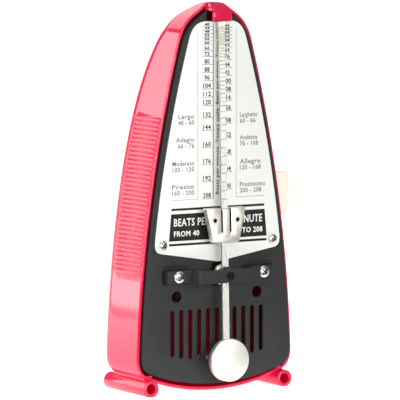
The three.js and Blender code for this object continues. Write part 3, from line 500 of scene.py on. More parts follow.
INK = surface(
    "black_ink", (0.015, 0.012, 0.012), (0.4, 0.5), 0.003, 0.0003, 0.000003, 0.1, Specular_IOR_Level=0.25
)
GREY_INK = surface("grey_ink", (0.2, 0.2, 0.2), (0.4, 0.5), 0.003, 0.0003, 0.000003, 0.1)

shade_inside(RED, 0.35)
dull_grips(RED, 0.2)
shade_crevices(BLACK, 0.004, 0.1)
shade_crevices(NICKEL, 0.0015, 0.02)
shade_crevices(CAST, 0.002, 0.03)


# -------------------------------- the housing's outline
class Bow:
    """A quadratic curve in X and Z."""

    def __init__(self, a, b, c):
        self.a, self.b, self.c = Vector(a), Vector(b), Vector(c)

    def at(self, t):
        return self.a * (1 - t) ** 2 + self.b * 2 * t * (1 - t) + self.c * t**2

    def outwards(self, t):
        along = (self.b - self.a) * (1 - t) + (self.c - self.b) * t
        return Vector((along.y, -along.x)).normalized()


def straight(a, c):
    return Bow(a, (Vector(a) + Vector(c)) / 2, c)


OUTLINE = [
    (Bow((0, LIP_BOTTOM), (17.5, LIP_BOTTOM), (32.4, 6.9)), 30),
    (Bow((32.4, 6.9), (37.1, 8.9), (36.9, 16)), 14),
    (Bow((36.9, 16), (34.65, 80), (17.7, 144.2)), 40),
    (Bow((17.7, 144.2), (15.8, 151.4), (10.5, 155.2)), 16),
    (straight((10.5, 155.2), (5.2, 158.9)), 6),
    (Bow((5.2, 158.9), (3.7, HEIGHT), (0, HEIGHT)), 10),
]
SIDE = 2


def half_outline(inwards):
    """Points of the right half from the bottom middle to the apex, moved inwards."""
    points = []
    for index, (curve, steps) in enumerate(OUTLINE):
        for i in range(0 if index == 0 else 1, steps + 1):
            points.append(curve.at(i / steps) - curve.outwards(i / steps) * inwards)
    points[0].x = points[-1].x = 0
    return points


def mirrored(half):
    return half + [Vector((-p.x, p.y)) for p in reversed(half) if p.x > WELD]


def depth_at(z):
    """How far the back lies behind the rim at height z."""
    rise = max(0, (z - DOME_START) / DOME_SPAN)
    low = max(0, BACK_RADIUS + LIP_BOTTOM - z)
    undercut = BACK_RADIUS - math.sqrt(max(0, BACK_RADIUS**2 - low**2))
    return DEPTH * math.sqrt(1 - rise**DOME_POWER) - undercut


def back_radius(z):
    """The rounding of the back edges at height z."""
    crown = max(0, (z - CROWN_START) / (HEIGHT - CROWN_START))
    return BACK_RADIUS - (BACK_RADIUS - CROWN_RADIUS) * crown


def grip_stations():
    """Places along the side curve with each one's rib height, close together where the ribs are."""
    curve = OUTLINE[SIDE][0]
    length = curve.c.y - curve.a.y
    start, end = ((z - curve.a.y) / length for z in (GRIP_BOTTOM, GRIP_TOP))
    stations = [(start * i / BELOW_GRIP_STEPS, 0) for i in range(BELOW_GRIP_STEPS)]
    for i in range(GRIP_RIBS * RIB_STEPS + 1):
        phase = i % RIB_STEPS / RIB_STEPS
        stations.append((start + (end - start) * i / (GRIP_RIBS * RIB_STEPS), math.sin(math.pi * phase)))
    above = range(1, ABOVE_GRIP_STEPS + 1)
    return stations + [(end + (1 - end) * i / ABOVE_GRIP_STEPS, 0) for i in above]


def back_corner(spot, inwards):
    """The rounded back corner of a level section, from the side wall to the back."""
    back = RIM_Y + depth_at(min(max(spot.y, LIP_BOTTOM), HEIGHT)) - inwards
    widest, deepest = CORNER_SHARE["width"] * spot.x, CORNER_SHARE["depth"] * (back - RIM_Y)
    radius = max(0, min(back_radius(spot.y) - inwards, widest, deepest))
    corner = []
    for i in range(CORNER_STEPS + 1):
        turn = math.pi / 2 * i / CORNER_STEPS
        x = spot.x - radius * (1 - math.cos(turn))
        corner.append(Vector((x, back - radius * (1 - math.sin(turn)), spot.y)))
    return corner


def half_section(place, out, rib):
    """Half of the shell at one place on the outline, from inside the back round the rim."""

    def spot(inwards, y):
        flat = place - out * inwards
        return Vector((flat.x, y, flat.y))

    inner = back_corner(place - out * WALL, WALL)
    outer = back_corner(place, 0)
    points = [Vector((0, inner[-1].y, inner[-1].z)), *reversed(inner)]
    for inwards, deep in reversed(rounded_edge(LIP_ROUND, ROUND_STEPS)):
        points.append(spot(WALL - inwards, RIM_Y + deep))
    for inwards, deep in rounded_edge(RIM_ROUND, ROUND_STEPS):
        points.append(spot(inwards, RIM_Y + deep))
    start = RIM_Y + RIM_ROUND
    squeeze = min(1, (outer[0].y - start - GRIP_SPARE) / (GRIP_BACK - start))
    for y, lift in (
        (GRIP_FRONT, 0),
        (GRIP_FRONT + RIB_RUN, rib),
        ((GRIP_FRONT + GRIP_BACK) / 2, rib),
        (GRIP_BACK - RIB_RUN, rib),
        (GRIP_BACK, 0),
    ):
        points.append(spot(-GRIP_PROUD * lift, start + (y - start) * squeeze))
    return points + outer + [Vector((0, outer[-1].y, outer[-1].z))]


def shell():
    rings = []
    for index, (curve, steps) in enumerate(OUTLINE):
        stations = grip_stations() if index == SIDE else [(i / steps, 0) for i in range(steps + 1)]
        for t, rib in stations[0 if index == 0 else 1 :]:
            right = half_section(curve.at(t), curve.outwards(t), rib)
            left = [Vector((-p.x, p.y, p.z)) for p in reversed(right)]
            rings.append(right + left)
    for ring in (rings[0], rings[-1]):
        for point in ring:
            point.x = 0
    points, faces = skin(rings, closed=False)
    return mesh_piece("housing_shell", points, faces)


# -------------------------------- housing
def tab():
    """The glossy lobe over the rod's tip, flat below and rounded back into the apex."""
    root = RIM_Y + TAB_TOP["root"]
    top = HEIGHT - TAB_TOP["sink"]
    edge = [(inwards, TAB["bottom"] + deep) for inwards, deep in rounded_edge(TAB["edge"], 3)]
    levels = [(z, TAB["front"], inwards) for inwards, z in edge]
    for i in range(13):
        turn = math.pi / 2 * i / 12
        z = TAB["bend"] + (top - TAB["bend"]) * math.sin(turn)
        y = TAB["front"] + (root - TAB_TOP["lap"] - TAB["front"]) * (1 - math.cos(turn))
        levels.append((z, y, 0))
    rings = []
    for z, front, inwards in levels:
        rise = (z - TAB["bottom"]) / (HEIGHT + TAB_TOP["vanish"] - TAB["bottom"])
        half = TAB["half"] * math.sqrt(1 - rise ** TAB_TOP["taper"]) - inwards
        front += inwards
        radius = min(TAB["round"], TAB_TOP["share"] * (root - front))
        right = [Vector((half, root, z))]
        for i in range(7):
            turn = math.pi / 2 * i / 6
            x = half - radius * (1 - math.cos(turn))
            right.append(Vector((x, front + radius * (1 - math.sin(turn)), z)))
        rings.append(right + [Vector((-p.x, p.y, p.z)) for p in reversed(right)])
    body = capped("tab", rings)
    wide = TAB["half"] + TAB_POCKET["spare"]
    lip = TAB["front"] + TAB_POCKET["lip"]
    roof = TAB["bottom"] + TAB_POCKET["tall"]
    return cut(body, block(-wide, wide, lip, PANEL_BACK, TAB["bottom"] - 1, roof))


def post(kind, x, z, front):
    """A post that stands forward from the back wall, with a pilot hole for a screw."""
    wall = RIM_Y + depth_at(z) - WALL / 2
    stem = pin(kind["radius"], front, wall, (x, 0, z), near=0.3)
    return cut(stem, pin(kind["bore"], front - 1, front + kind["drilled"], (x, 0, z), segments=20))


def housing():
    body = join(shell(), tab())
    for side in (-1, 1):
        x = side * FOOT["x"]
        place = (x, 0, FOOT["z"])
        tube = pin(FOOT["radius"], FOOT["front"], FOOT["back"], place, segments=56, near=0.5, far=0.5)
        near, far = sorted((side * FOOT_WEB["near"], side * FOOT_WEB["far"]))
        back = RIM_Y + DEPTH - FOOT_WEB["short"]
        web = block(near, far, RIM_Y + FOOT_WEB["front"], back, FOOT_WEB["low"], FOOT_WEB["high"])
        join(body, tube, web)
        bore = lathe(
            "bore",
            [
                (0, FOOT["front"] - 1),
                (FOOT["bore"] + FOOT["flare"], FOOT["front"] - 1),
                (FOOT["bore"], FOOT["front"] + 0.3),
                (FOOT["bore"], FOOT["back"] - 0.3),
                (FOOT["bore"] + FOOT["flare"], FOOT["back"] + 1),
                (0, FOOT["back"] + 1),
            ],
            place,
            segments=48,
        )
        cut(body, bore)
        front = PANEL_THICK + PLATE_POST["gap"]
        join(body, post(PLATE_POST, side * PLATE_POST["x"], PLATE_POST["z"], front))
        for height in MOUNT_POST["heights"]:
            join(body, post(MOUNT_POST, side * MOUNT_POST["x"], height, MOUNT_POST["y"]))
    cut(body, block(*BELOW_TABLE))
    centre = (0, TRAIN_Y, BARREL_Z)
    cut(body, pin(KEY_HOLE["radius"], KEY_HOLE["near"], KEY_HOLE["far"], centre, "X", segments=48))
    body.name = "housing_body"
    return finished(body, "case", RED, ["housing"], angle=38)


# -------------------------------- front panel and scale plate
PANEL_INSET = WALL + 0.3
PANEL_SKIRT = 1.4
PANEL_THICK = 1.2
PANEL_OVERLAP = 0.4  # how far the skirt runs into the face, so that the two join
PANEL_LIFT = 1.35
LIFT_FADE = 22
PANEL_DROP = 0.5
DROP_START = 138
DROP_RISE = 12
SLOTS = {"count": 11, "pitch": 4.23, "width": 1.88, "top": 34.7, "bottom": 13.3, "bow": 90, "end": 0.98}
HOLES = {"x": 19.2, "z": 40.2, "radius": 2.3}
BRIDGE_SCREW = {"x": 20.2, "bore": 1.1, "clear": 1.4, "boss": 2.6, "boss_back": 1.5}
PLATE_SCREW_CLEAR = 1.4
SEAT = 0.4
SEAT_MARGIN = 0.5


def slot_outline(index):
    """A round-ended slot; its lower end follows the housing's curved bottom."""
    x = (index - (SLOTS["count"] - 1) / 2) * SLOTS["pitch"]
    half = SLOTS["width"] / 2
    low = SLOTS["bottom"] + x**2 / (2 * SLOTS["bow"])
    corners = [(x - half, low), (x + half, low), (x + half, SLOTS["top"]), (x - half, SLOTS["top"])]
    return rounded([(u, v, half * SLOTS["end"]) for u, v in corners])


def panel_outline(inwards):
    """The housing's outline moved inwards, raised low down and lowered at the top."""
    half = half_outline(inwards)
    for point in half:
        low = max(0, 1 - point.y / LIFT_FADE)
        high = min(1, max(0, (point.y - DROP_START) / DROP_RISE))
        point.y += PANEL_LIFT * low - PANEL_DROP * high
    return mirrored(half)


def front_panel():
    face = panel_outline(PANEL_INSET)
    holes = [slot_outline(index) for index in range(SLOTS["count"])]
    for side in (-1, 1):
        holes.append(circle(side * HOLES["x"], HOLES["z"], HOLES["radius"], 40))
        holes.append(circle(side * PLATE_POST["x"], PLATE_POST["z"], PLATE_SCREW_CLEAR))
        holes.append(circle(side * BRIDGE_SCREW["x"], PIVOT_Z, BRIDGE_SCREW["bore"]))
    window = [(-2.2, -4.5), (2.2, -4.5), (2.2, 4.8), (-2.2, 4.8)]
    holes.append(rounded([(x, PIVOT_Z + z, 0.5) for x, z in window]))
    plate = slab("panel_plate", [face, *holes], 0, PANEL_THICK, near=0.3, steps=4)
    inner = panel_outline(PANEL_INSET + PANEL_SKIRT)
    front = PANEL_THICK - PANEL_OVERLAP
    skirt = slab("panel_skirt", [panel_outline(PANEL_INSET), inner], front, PANEL_BACK, far=0.3)
    body = join(plate, skirt)
    for side in (-1, 1):
        centre = (side * BRIDGE_SCREW["x"], 0, PIVOT_Z)
        back = PANEL_BACK + BRIDGE_SCREW["boss_back"]
        boss = pin(BRIDGE_SCREW["boss"], PANEL_THICK - 0.2, back, centre, far=0.3)
        join(body, cut(boss, pin(BRIDGE_SCREW["bore"], 0, PANEL_BACK, centre)))
    half = BRIDGE_HIGH.x + SEAT_MARGIN
    low, high = BRIDGE_LOW.z - SEAT_MARGIN, BRIDGE_HIGH.z + SEAT_MARGIN
    cut(body, block(-half, half, -1, SEAT, low, high))
    notch = TAB["half"] + 0.3
    cut(body, block(-notch, notch, -1, PANEL_BACK + 1, TAB["bottom"] - 0.3, HEIGHT))
    body.name = "panel_body"
    return finished(body, "case", BLACK, ["front_panel"])


PLATE_CURVES = [
    (straight((0, 53.8), (26.9, 58.3)), 1),
    (Bow((26.9, 58.3), (30, 58.8), (29.6, 63)), 10),
    (Bow((29.6, 63), (25, 104), (13.5, 145.2)), 24),
    (Bow((13.5, 145.2), (11.6, PLATE_TOP), (5.5, PLATE_TOP)), 14),
    (straight((5.5, PLATE_TOP), (0, PLATE_TOP)), 1),
]


def scale_plate():
    half = []
    for index, (curve, steps) in enumerate(PLATE_CURVES):
        half += [curve.at(i / steps) for i in range(0 if index == 0 else 1, steps + 1)]
    x, z = PLATE_POST["x"], PLATE_POST["z"]
    holes = [circle(side * x, z, PLATE_SCREW_CLEAR) for side in (-1, 1)]
    body = slab("plate_sheet", [mirrored(half), *holes], PLATE_FRONT, PLATE_BACK, near=0.15, steps=2)
    return finished(body, "case", WHITE, ["scale_plate"])


# -------------------------------- print on the scale plate
TEMPOS = [
    *range(40, 60, 2), *range(60, 72, 3), *range(72, 120, 4), *range(120, 144, 6), *range(144, 209, 8)
]
FAST_MARK = 31.2
SLOW_MARK = 101.5
MARK_BEND = 1.055
INK_THICK = 0.05
CAP_SHARE = 0.729  # a capital's height as a share of the built-in font's size


def mark_height(tempo):
    """Where the slider's upper edge stands for a tempo, above the pivot."""
    share = (tempo - TEMPOS[0]) / (TEMPOS[-1] - TEMPOS[0])
    return SLOW_MARK - (SLOW_MARK - FAST_MARK) * share**MARK_BEND


def stroke(ink, x0, x1, z0, z1, layer=1):
    """A printed rectangle."""
    thick = INK_THICK * (layer + 0.5)
    centre = Vector(((x0 + x1) / 2, PLATE_FRONT - thick / 2 + INK_THICK / 2, (z0 + z1) / 2))
    size = Matrix.Diagonal((x1 - x0, thick, z1 - z0, 1))
    bmesh.ops.create_cube(ink, size=1, matrix=Matrix.Translation(centre) @ size)


def trapezoid(ink, z0, half0, z1, half1):
    """A printed block whose sides follow the plate's."""
    outline = [Vector((-half0, z0)), Vector((half0, z0)), Vector((half1, z1)), Vector((-half1, z1))]
    body = slab("block", [outline], PLATE_FRONT - INK_THICK, PLATE_FRONT + INK_THICK / 2)
    ink.from_mesh(body.data)
    bpy.data.objects.remove(body)


def lettering(ink, text, x, z, height, width=None, align=0.5, weight=0.0, upright=False, layer=1):
    """Printed text whose cap height and, where given, whole width are set; x is where align points."""
    curve = bpy.data.curves.new("lettering", "FONT")
    curve.body = text
    curve.size = height / CAP_SHARE
    curve.space_character = 1.08
    curve.resolution_u = 2
    curve.offset = weight
    curve.extrude = INK_THICK / 2 * (layer + 0.5)
    drawn = bpy.data.objects.new("lettering", curve)
    bpy.context.scene.collection.objects.link(drawn)
    bpy.context.view_layer.update()
    mesh = bpy.data.meshes.new_from_object(drawn.evaluated_get(bpy.context.evaluated_depsgraph_get()))
    left = min(vertex.co.x for vertex in mesh.vertices)
    right = max(vertex.co.x for vertex in mesh.vertices)
    fit = 1 if width is None else width / (right - left)
    to_left = Matrix.Translation((-left - (right - left) * align, -height / 2, 0))
    turn = Matrix.Rotation(math.pi / 2, 4, "X")
    if upright:
        turn = turn @ Matrix.Rotation(math.pi / 2, 4, "Z")
    place = Matrix.Translation((x, PLATE_FRONT - INK_THICK * layer / 2 + INK_THICK / 4, z))
    mesh.transform(place @ turn @ Matrix.Diagonal((fit, 1, 1, 1)) @ to_left)
    ink.from_mesh(mesh)
    bpy.data.objects.remove(drawn)


def printed(name, ink, material):
    mesh = bpy.data.meshes.new(name)
    bmesh.ops.remove_doubles(ink, verts=ink.verts, dist=WELD)
    bmesh.ops.recalc_face_normals(ink, faces=ink.faces)
    ink.to_mesh(mesh)
    ink.free()
    piece = bpy.data.objects.new(name, mesh)
    bpy.context.scene.collection.objects.link(piece)
    return finished(piece, "case", material)


PRINT_X = -0.5  # the print stands a little left of the pivot
TICK = {"near": 1.8, "far": 7.2, "thick": 0.16, "number": 4.78, "gap": 0.42}
STRIP = {"x": 1.85, "thick": 0.3, "short": 1.2, "text_x": 0.05, "text_tall": 1.5}
DIGIT = {"wide": 1.2, "tall": 1.95, "least": 0.9, "slowest": 1.1}
FRAME_LINE = {"x": 9.14, "top": 149, "bottom": 79.9, "far": 21.9, "thick": 0.16}
BARS = [(76.1, 22.1), (61.7, 23.3)]
BAR_THICK = 0.94
LABEL = {"top": 74.3, "top_half": 22.3, "bottom": 63.2, "bottom_half": 23.3}
STRIP_WORDS = [
    (91.2, "Beats per minute", 19.5),
    (109.6, "Tempo scale", 14),
    (127.2, "Beats per minute", 17.5),
    (143.6, "Tempo scale", 12),
]
WORD_X = 10.9
WORD_TALL = 1.95
LEFT_WORDS = [
    ("Largo", 7.5, "40 - 60", 7.5, 113.95),
    ("Adagio", 8.6, "66 - 76", 7.7, 104.5),
    ("Moderato", 10.3, "100 - 120", 10.2, 94.85),
    ("Presto", 10.5, "160 - 200", 10.4, 85.35),
]
RIGHT_WORDS = [
    ("Larghetto", 8.4, "60 - 66", 7.5, 113.75),
    ("Andante", 8.4, "76 - 108", 8.7, 104.4),
    ("Allegro", 9.9, "120 - 168", 10.0, 94.5),
    ("Prestissimo", 12.2, "200 - 208", 10.3, 85.1),
]
LINE_STEP = 2.5


def tempo_print():
    ink = bmesh.new()
    heights = {tempo: PIVOT_Z + mark_height(tempo) for tempo in TEMPOS}
    for order, tempo in enumerate(reversed(TEMPOS)):
        side = -1 if order % 2 == 0 else 1
        x0, x1 = sorted((PRINT_X + side * TICK["near"], PRINT_X + side * TICK["far"]))
        z = heights[tempo]
        stroke(ink, x0, x1, z - TICK["thick"] / 2, z + TICK["thick"] / 2)
        slower = TEMPOS[max(0, TEMPOS.index(tempo) - 2)]
        room = heights[slower] - z - 2 * TICK["gap"] if slower < tempo else DIGIT["slowest"]
        tall = min(DIGIT["tall"], max(DIGIT["least"], room))
        wide = DIGIT["wide"] * len(str(tempo))
        middle = z + TICK["gap"] + tall / 2
        lettering(ink, str(tempo), PRINT_X + side * TICK["number"], middle, tall, wide, weight=0.06)
    for side in (-1, 1):
        x = PRINT_X + side * STRIP["x"]
        x0, x1 = x - STRIP["thick"] / 2, x + STRIP["thick"] / 2
        stroke(ink, x0, x1, PIVOT_Z + FAST_MARK, PLATE_TOP - STRIP["short"])
    for z, half in BARS:
        stroke(ink, -half, half, z - BAR_THICK / 2, z + BAR_THICK / 2)
    trapezoid(ink, LABEL["bottom"], LABEL["bottom_half"], LABEL["top"], LABEL["top_half"])
    for middle, text, long in STRIP_WORDS:
        x, tall = PRINT_X + STRIP["text_x"], STRIP["text_tall"]
        lettering(ink, text, x, middle, tall, long, weight=0.02, upright=True)
    return printed("scale_print", ink, INK)


def word_print():
    ink = bmesh.new()
    for words, side, align in ((LEFT_WORDS, -1, 1), (RIGHT_WORDS, 1, 0)):
        for word, word_wide, figures, figures_wide, z in words:
            x = PRINT_X + side * WORD_X
            lettering(ink, word, x, z, WORD_TALL, word_wide, align, weight=0.05)
            lettering(ink, figures, x, z - LINE_STEP, WORD_TALL, figures_wide, align, weight=0.05)
        x, thick = PRINT_X + side * FRAME_LINE["x"], FRAME_LINE["thick"]
        stroke(ink, x - thick / 2, x + thick / 2, FRAME_LINE["bottom"], FRAME_LINE["top"])
        x0, x1 = sorted((x, side * FRAME_LINE["far"]))
        stroke(ink, x0, x1, FRAME_LINE["bottom"] - thick / 2, FRAME_LINE["bottom"] + thick / 2)
    return printed("tempo_words", ink, GREY_INK)


def label_print():
    ink = bmesh.new()
    for text, x, z, tall, wide, align in (
        ("BEATS PER", -21.0, 70.9, 3.2, 17.0, 0),
        ("MINUTE", 21.1, 70.9, 3.2, 12.4, 1),
        ("FROM 40", -21.0, 66.2, 2.2, 12.0, 0),
        ("TO 208", 21.3, 66.2, 2.2, 9.8, 1),
    ):
        lettering(ink, text, x, z, tall, wide, align, weight=0.08, layer=2)
    return printed("label_print", ink, WHITE)


# -------------------------------- bridge and screws
def bridge():
    """A raised bar on two feet; its middle carries the arbor's front bearing."""
    half, front = BRIDGE_HIGH.x, BRIDGE_LOW.y
    seat = BRIDGE_HIGH.y
    foot = -3.6
    middle = 14.8
    leg = middle - 2.2
    inside = front + 2.4
    corners = [
        (half, seat, 0.2),
        (leg, seat, 0.2),
        (leg, inside, 1.0),
        (-leg, inside, 1.0),
        (-leg, seat, 0.2),
        (-half, seat, 0.2),
        (-half, foot, 0.5),
        (-middle, foot, 0.7),
        (-middle, front, 0.9),
        (middle, front, 0.9),
        (middle, foot, 0.7),
        (half, foot, 0.5),
    ]
    top = BRIDGE_LOW.z + 5.4
    body = slab("bridge_bar", [rounded(corners)], BRIDGE_LOW.z, top, 0.35, 0.35, axis="Z")
    boss = pin(1.7, front, inside, (0, 0, top - 0.6), near=0.5)
    cut(boss, block(-3, 3, front - 1, 0, PIVOT_Z, top - 1.2))
    join(body, boss)
    for side in (-1, 1):
        cut(body, pin(BRIDGE_SCREW["clear"], -5, 2, (side * BRIDGE_SCREW["x"], 0, PIVOT_Z)))
    recess = [(0, front - 1), (2.3, front - 1), (1.75, front + 0.3), (1.6, front + 0.9), (0, front + 0.9)]
    cut(body, pin(1.1, front - 1, 0, (0, 0, PIVOT_Z)), lathe("recess", recess, (0, 0, PIVOT_Z)))
    body.name = "bridge_body"
    return finished(body, "case", BLACK, ["bridge"])


def cross_screw(node, head, tall, turn):
    """A domed screw head with a cross recess, on its shank."""
    low, high = span(node)
    x, z = (low.x + high.x) / 2, (low.z + high.z) / 2
    under = low.y + tall
    profile = [(0, high.y), (1, high.y), (1, under), (head - 0.15, under), (head, under - 0.2)]
    for i in range(1, 9):
        rise = math.pi / 2 * i / 8
        profile.append((head * math.cos(rise), under - 0.2 - (tall - 0.2) * math.sin(rise)))
    profile[-1] = (0, low.y)
    body = lathe(node + "_body", profile, (x, 0, z), segments=48)
    for arm in (0, 1):
        angle = math.radians(turn + 90 * arm)
        bar = block(-head * 0.62, head * 0.62, low.y - 1, low.y + tall * 0.72, -0.34, 0.34)
        bar.data.transform(Matrix.Translation((x, 0, z)) @ Matrix.Rotation(angle, 4, "Y"))
        cut(body, bar)
    cut(body, lathe("cone", [(0, low.y - 1), (1.2, low.y - 1), (0, low.y + tall)], (x, 0, z)))
    return finished(body, "case", NICKEL, [node])


# -------------------------------- pendulum, in the rod's own axes
ROD_Y = -6.2
ROD_WIDTH = 3
ROD_THICK = 1
ROD_UP = 104.2
ROD_DOWN = 38.5
NOTCH = {"deep": 0.3, "tall": 0.5}
ROD_FRAME = TO_FRAME @ Matrix.Translation((0, ROD_Y, PIVOT_Z)) @ Matrix.Rotation(-ROD_LEAN, 4, "X")
ARBOR_BORE = 1.12
WEIGHT = {"radius": 8.85, "down": 34.6, "front": -3.7, "back": -0.6, "round": 0.55, "groove": 0.16}
WEIGHT_RIVET = {"rod_hole": 0.9, "disc_hole": 0.85}
SLIDER = {"low": 13.4, "high": 27.7, "bottom": 6.05, "top": 9.3, "front": -1.9, "back": 1.3}
SLIT = {"near": 1.75, "far": 2.4, "low": 17.8}
RIVET = {"x": 5.35, "z": 22.7, "radius": 0.95}


def pendulum_rod():
    half = ROD_THICK / 2
    outline = [Vector((half, -ROD_DOWN)), Vector((half, ROD_UP)), Vector((-half, ROD_UP))]
    for tempo in TEMPOS:
        z = mark_height(tempo)
        outline.append(Vector((-half, z + NOTCH["tall"] / 2)))
        outline.append(Vector((-half + NOTCH["deep"], z)))
        outline.append(Vector((-half, z - NOTCH["tall"] / 2)))
    outline.append(Vector((-half, -ROD_DOWN)))
    strip = slab("rod_strip", [outline], -ROD_WIDTH / 2, ROD_WIDTH / 2, 0.08, 0.08, axis="X", steps=1)
    cut(strip, pin(ARBOR_BORE, -2, 2), pin(WEIGHT_RIVET["rod_hole"], -2, 2, (0, 0, -WEIGHT["down"])))
    return finished(strip, "pendulum", BRUSHED, ["pendulum_rod"], axes=ROD_FRAME)


def counterweight():
    """The big disc, with a fine groove turned round its side."""
    radius, front, groove = WEIGHT["radius"], WEIGHT["front"], WEIGHT["groove"]
    edge = [(radius - inwards, front + deep) for inwards, deep in rounded_edge(WEIGHT["round"], 5)]
    line = front + 1.1
    side = [(radius, line - groove), (radius - groove, line), (radius, line + groove)]
    rear = [(radius, WEIGHT["back"] - 0.2), (radius - 0.2, WEIGHT["back"]), (0, WEIGHT["back"])]
    body = lathe("weight_disc", [(0, front), *edge, *side, *rear], (0, 0, -WEIGHT["down"]), segments=96)
    cut(body, pin(WEIGHT_RIVET["disc_hole"], -2.2, 0, (0, 0, -WEIGHT["down"])))
    return finished(body, "pendulum", SATIN, ["counterweight"], axes=ROD_FRAME)


def slider():
    """A tapered casting: two cheeks, and a domed tongue between two slits that holds the rod."""
    low, high = SLIDER["low"], SLIDER["high"]
    cheeks = [
        (-SLIDER["bottom"], low, 1.6),
        (SLIDER["bottom"], low, 1.6),
        (SLIDER["top"], high, 0.35),
        (SLIT["far"], high, 0.35),
        (SLIT["far"], SLIT["low"], 0.3),
        (-SLIT["far"], SLIT["low"], 0.3),
        (-SLIT["far"], high, 0.35),
        (-SLIDER["top"], high, 0.35),
    ]
    body = slab("slider_casting", [rounded(cheeks)], SLIDER["front"], SLIDER["back"], 0.3, 0.15)
    near = SLIT["near"]
    bar = [(-near, low + 2, 0), (near, low + 2, 0), (near, high - 0.2, 0.9), (-near, high - 0.2, 0.9)]
    tongue = slab("tongue", [rounded(bar)], SLIDER["front"] - 0.15, SLIDER["back"], 0.65, 0, steps=5)
    join(body, tongue)
    cut(body, block(-1.7, 1.7, -0.7, SLIDER["back"] + 1, low - 2, high + 1))
    for side in (-1, 1):
        centre = (side * RIVET["x"], 0, RIVET["z"])
        ring = [(1.4, SLIDER["front"] - 1), (1.4, SLIDER["front"] + 0.1), (1.62, SLIDER["front"] + 0.1)]
        ring.append((1.62, SLIDER["front"] - 1))
        cut(body, pin(RIVET["radius"], -3, 3, centre), lathe("ring", ring, centre, tube=True))
    body.name = "slider_casting"
    return finished(body, "slider", CAST, ["slider_body"], axes=ROD_FRAME)


def hub():
    """The collar that fixes the rod to its arbor."""
    low, high = span("pendulum_hub")
    radius = high.x
    profile = [(0, low.y)]
    profile += [(radius - inwards, low.y + deep) for inwards, deep in rounded_edge(0.4, 4)]
    profile += [(radius, low.y + 1.5), (radius - 0.1, low.y + 1.6), (2.2, low.y + 1.6), (2.2, high.y)]
    profile.append((0, high.y))
    body = lathe("hub_collar", profile, (0, 0, PIVOT_Z), segments=64)
    cut(body, pin(ARBOR_BORE, low.y - 2, high.y + 2, (0, 0, PIVOT_Z)))
    return finished(body, "pendulum", NICKEL, ["pendulum_hub"])


# -------------------------------- key
def winding_key():
    """A flat paddle with soft edges on a round boss."""
    tip, half = KEY_HIGH.x, (KEY_HIGH.z - KEY_LOW.z) / 2
    neck, waist = 34.6, 3.2
    flat, side = 42.2, 6.6
    curves = [
        Bow((neck, -waist), (neck + 0.2, -half), (neck + 3, -half)),
        Bow((flat, -half), (tip, -half), (tip, -side)),
        Bow((tip, side), (tip, half), (flat, half)),
        Bow((neck + 3, half), (neck + 0.2, half), (neck, waist)),
    ]
    outline = []
    for curve in curves:
        outline += [curve.at(i / 10) + Vector((0, BARREL_Z)) for i in range(11)]
    body = slab("key_paddle", [outline], KEY_LOW.y + 1.8, KEY_HIGH.y - 1.8, 1.0, 1.0, steps=5)
    boss = pin(3.1, KEY_LOW.x, 39.4, (0, TRAIN_Y, BARREL_Z), axis="X", segments=48, near=0.3, far=1.2)
    join(body, boss)
    cut(body, pin(1.55, 30, 37.8, (0, TRAIN_Y, BARREL_Z), axis="X"))
    body.name = "key_body"
    return finished(body, "winder", IVORY, ["winding_key"])


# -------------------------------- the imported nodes
def refinish_nodes():
    """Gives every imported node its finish; those that no drawn piece replaces keep their shapes."""
    finishes = {
        "housing_red": RED,
        "panel_black": BLACK,
        "scale_white": WHITE,
        "key_ivory": IVORY,
        "nickel_rod": BRUSHED,
        "nickel_slider": CAST,
        "nickel_steel": NICKEL,
        "movement_steel": STEEL,
        "movement_brass": BRASS,
    }
    for name, node in frame["nodes"].items():
        # The arbor's end and the slider's rivets take a dark steel that paints the shade of the bridge's
        # recess and the rivet holes.
        painted_shade = name.startswith("slider_rivet") or name == "pendulum_arbor"
        finish = SHADE_DARK_STEEL if painted_shade else finishes[node.data.materials[0].name]
        node.material_slots[0].material = finish


# -------------------------------- camera and studio
VIEW_AZIMUTH = -31.06
VIEW_ELEVATION = 5.72
VIEW_DISTANCE = 1.8384
VIEW_LENS = 404.5
VIEW_AIM_HEIGHT = 0.07901
VIEW_ASIDE = -0.00703  # how far right of the aim point the middle of the picture lies
EXPOSURE = 0.0


def direction(azimuth, elevation):
    a, e = math.radians(azimuth), math.radians(elevation)
    return Vector((math.sin(a) * math.cos(e), -math.cos(a) * math.cos(e), math.sin(e)))


def make_camera():
    data = bpy.data.cameras.new("camera")
    data.lens = VIEW_LENS
    data.sensor_width = 36
    data.clip_start = 0.05
    data.clip_end = 20
    camera = bpy.data.objects.new("camera", data)
    bpy.context.scene.collection.objects.link(camera)
    aim = Vector((ORIGIN.x, ORIGIN.y, VIEW_AIM_HEIGHT))
    back = direction(VIEW_AZIMUTH, VIEW_ELEVATION)
    rightwards = Vector((0, 0, 1)).cross(back).normalized()
    camera.location = aim + back * VIEW_DISTANCE
    look = aim + rightwards * VIEW_ASIDE - camera.location
    camera.rotation_mode = "QUATERNION"
    camera.rotation_quaternion = look.to_track_quat("-Z", "Y")
    bpy.context.scene.camera = camera


LIT_POINT = Vector((0, 0, 0.07))


def softbox(name, azimuth, elevation, distance, width, height, power):
    """A rectangular lamp that faces the object; the distance and sizes are in metres."""
    data = bpy.data.lights.new(name, "AREA")
    data.shape = "RECTANGLE"
    data.size, data.size_y = width, height
    data.energy = power
    light = bpy.data.objects.new(name, data)
    bpy.context.scene.collection.objects.link(light)
    away = direction(azimuth, elevation)
    light.location = LIT_POINT + away * distance
    light.rotation_mode = "QUATERNION"
    light.rotation_quaternion = away.to_track_quat("Z", "Y")
    light.visible_camera = False


FLOOR_GLOW = 0.85
WORLD_GLOW = 0.22  # what the white world gives as light


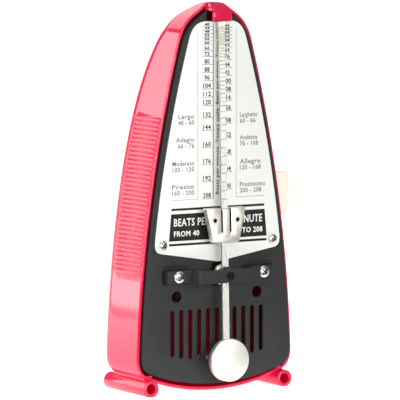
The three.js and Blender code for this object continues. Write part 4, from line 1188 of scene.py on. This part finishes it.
def make_floor():
    """A pale sheet that ends a little way in front of the object; past it the world shows white."""
    near, far, half = -0.07, 3, 3
    corners = [(-half, near, 0), (half, near, 0), (half, far, 0), (-half, far, 0)]
    floor = mesh_piece("floor", corners, [(0, 1, 2, 3)])
    made = surface("pale_floor", (0.9, 0.9, 0.9), (0.5, 0.6), 0.3, 0.01, 0.00001, 0.01)
    shader = made.node_tree.nodes["Principled BSDF"]
    shader.inputs["Emission Color"].default_value = (1, 1, 1, 1)
    shader.inputs["Emission Strength"].default_value = FLOOR_GLOW
    floor.data.materials.append(made)


def make_world():
    """White to look at, and a dimmer white for the light it gives."""
    world = bpy.data.worlds.new("studio")
    world.use_nodes = True
    nodes, links = world.node_tree.nodes, world.node_tree.links
    seen = nodes["Background"]
    seen.inputs["Color"].default_value = (1, 1, 1, 1)
    seen.inputs["Strength"].default_value = 1
    given = nodes.new("ShaderNodeBackground")
    given.inputs["Color"].default_value = (1, 1, 1, 1)
    given.inputs["Strength"].default_value = WORLD_GLOW
    path = nodes.new("ShaderNodeLightPath")
    mix = nodes.new("ShaderNodeMixShader")
    links.new(path.outputs["Is Camera Ray"], mix.inputs["Fac"])
    links.new(given.outputs["Background"], mix.inputs[1])
    links.new(seen.outputs["Background"], mix.inputs[2])
    links.new(mix.outputs["Shader"], nodes["World Output"].inputs["Surface"])
    bpy.context.scene.world = world


# Name, azimuth and elevation in degrees, distance, width and height in metres, and watts.
LAMPS = [
    ("key_light", -6, 7, 1.2, 1.3, 0.5, 13),
    ("side_card", -136, 10.8, 0.5, 0.31, 0.317, 1.15),
    ("side_fill", -84, 18, 1.2, 0.5, 0.5, 5),
    ("back_card", 180, 33, 1.3, 0.9, 0.45, 2.5),
    ("top_light", -10, 75, 1.2, 0.9, 0.9, 4),
]


def make_studio():
    make_world()
    make_floor()
    for lamp in LAMPS:
        softbox(*lamp)
    scene = bpy.context.scene
    scene.view_settings.view_transform = "Standard"
    scene.view_settings.exposure = EXPOSURE


make_camera()
make_studio()
housing()
front_panel()
scale_plate()
tempo_print()
word_print()
label_print()
bridge()
for label, bridge_turn, plate_turn in (("left", 12, 38), ("right", 40, 20)):
    cross_screw("bridge_screw_" + label, 2.45, 1.2, bridge_turn)
    cross_screw("plate_screw_" + label, 2.05, 1.1, plate_turn)
pendulum_rod()
counterweight()
slider()
hub()
winding_key()
refinish_nodes()
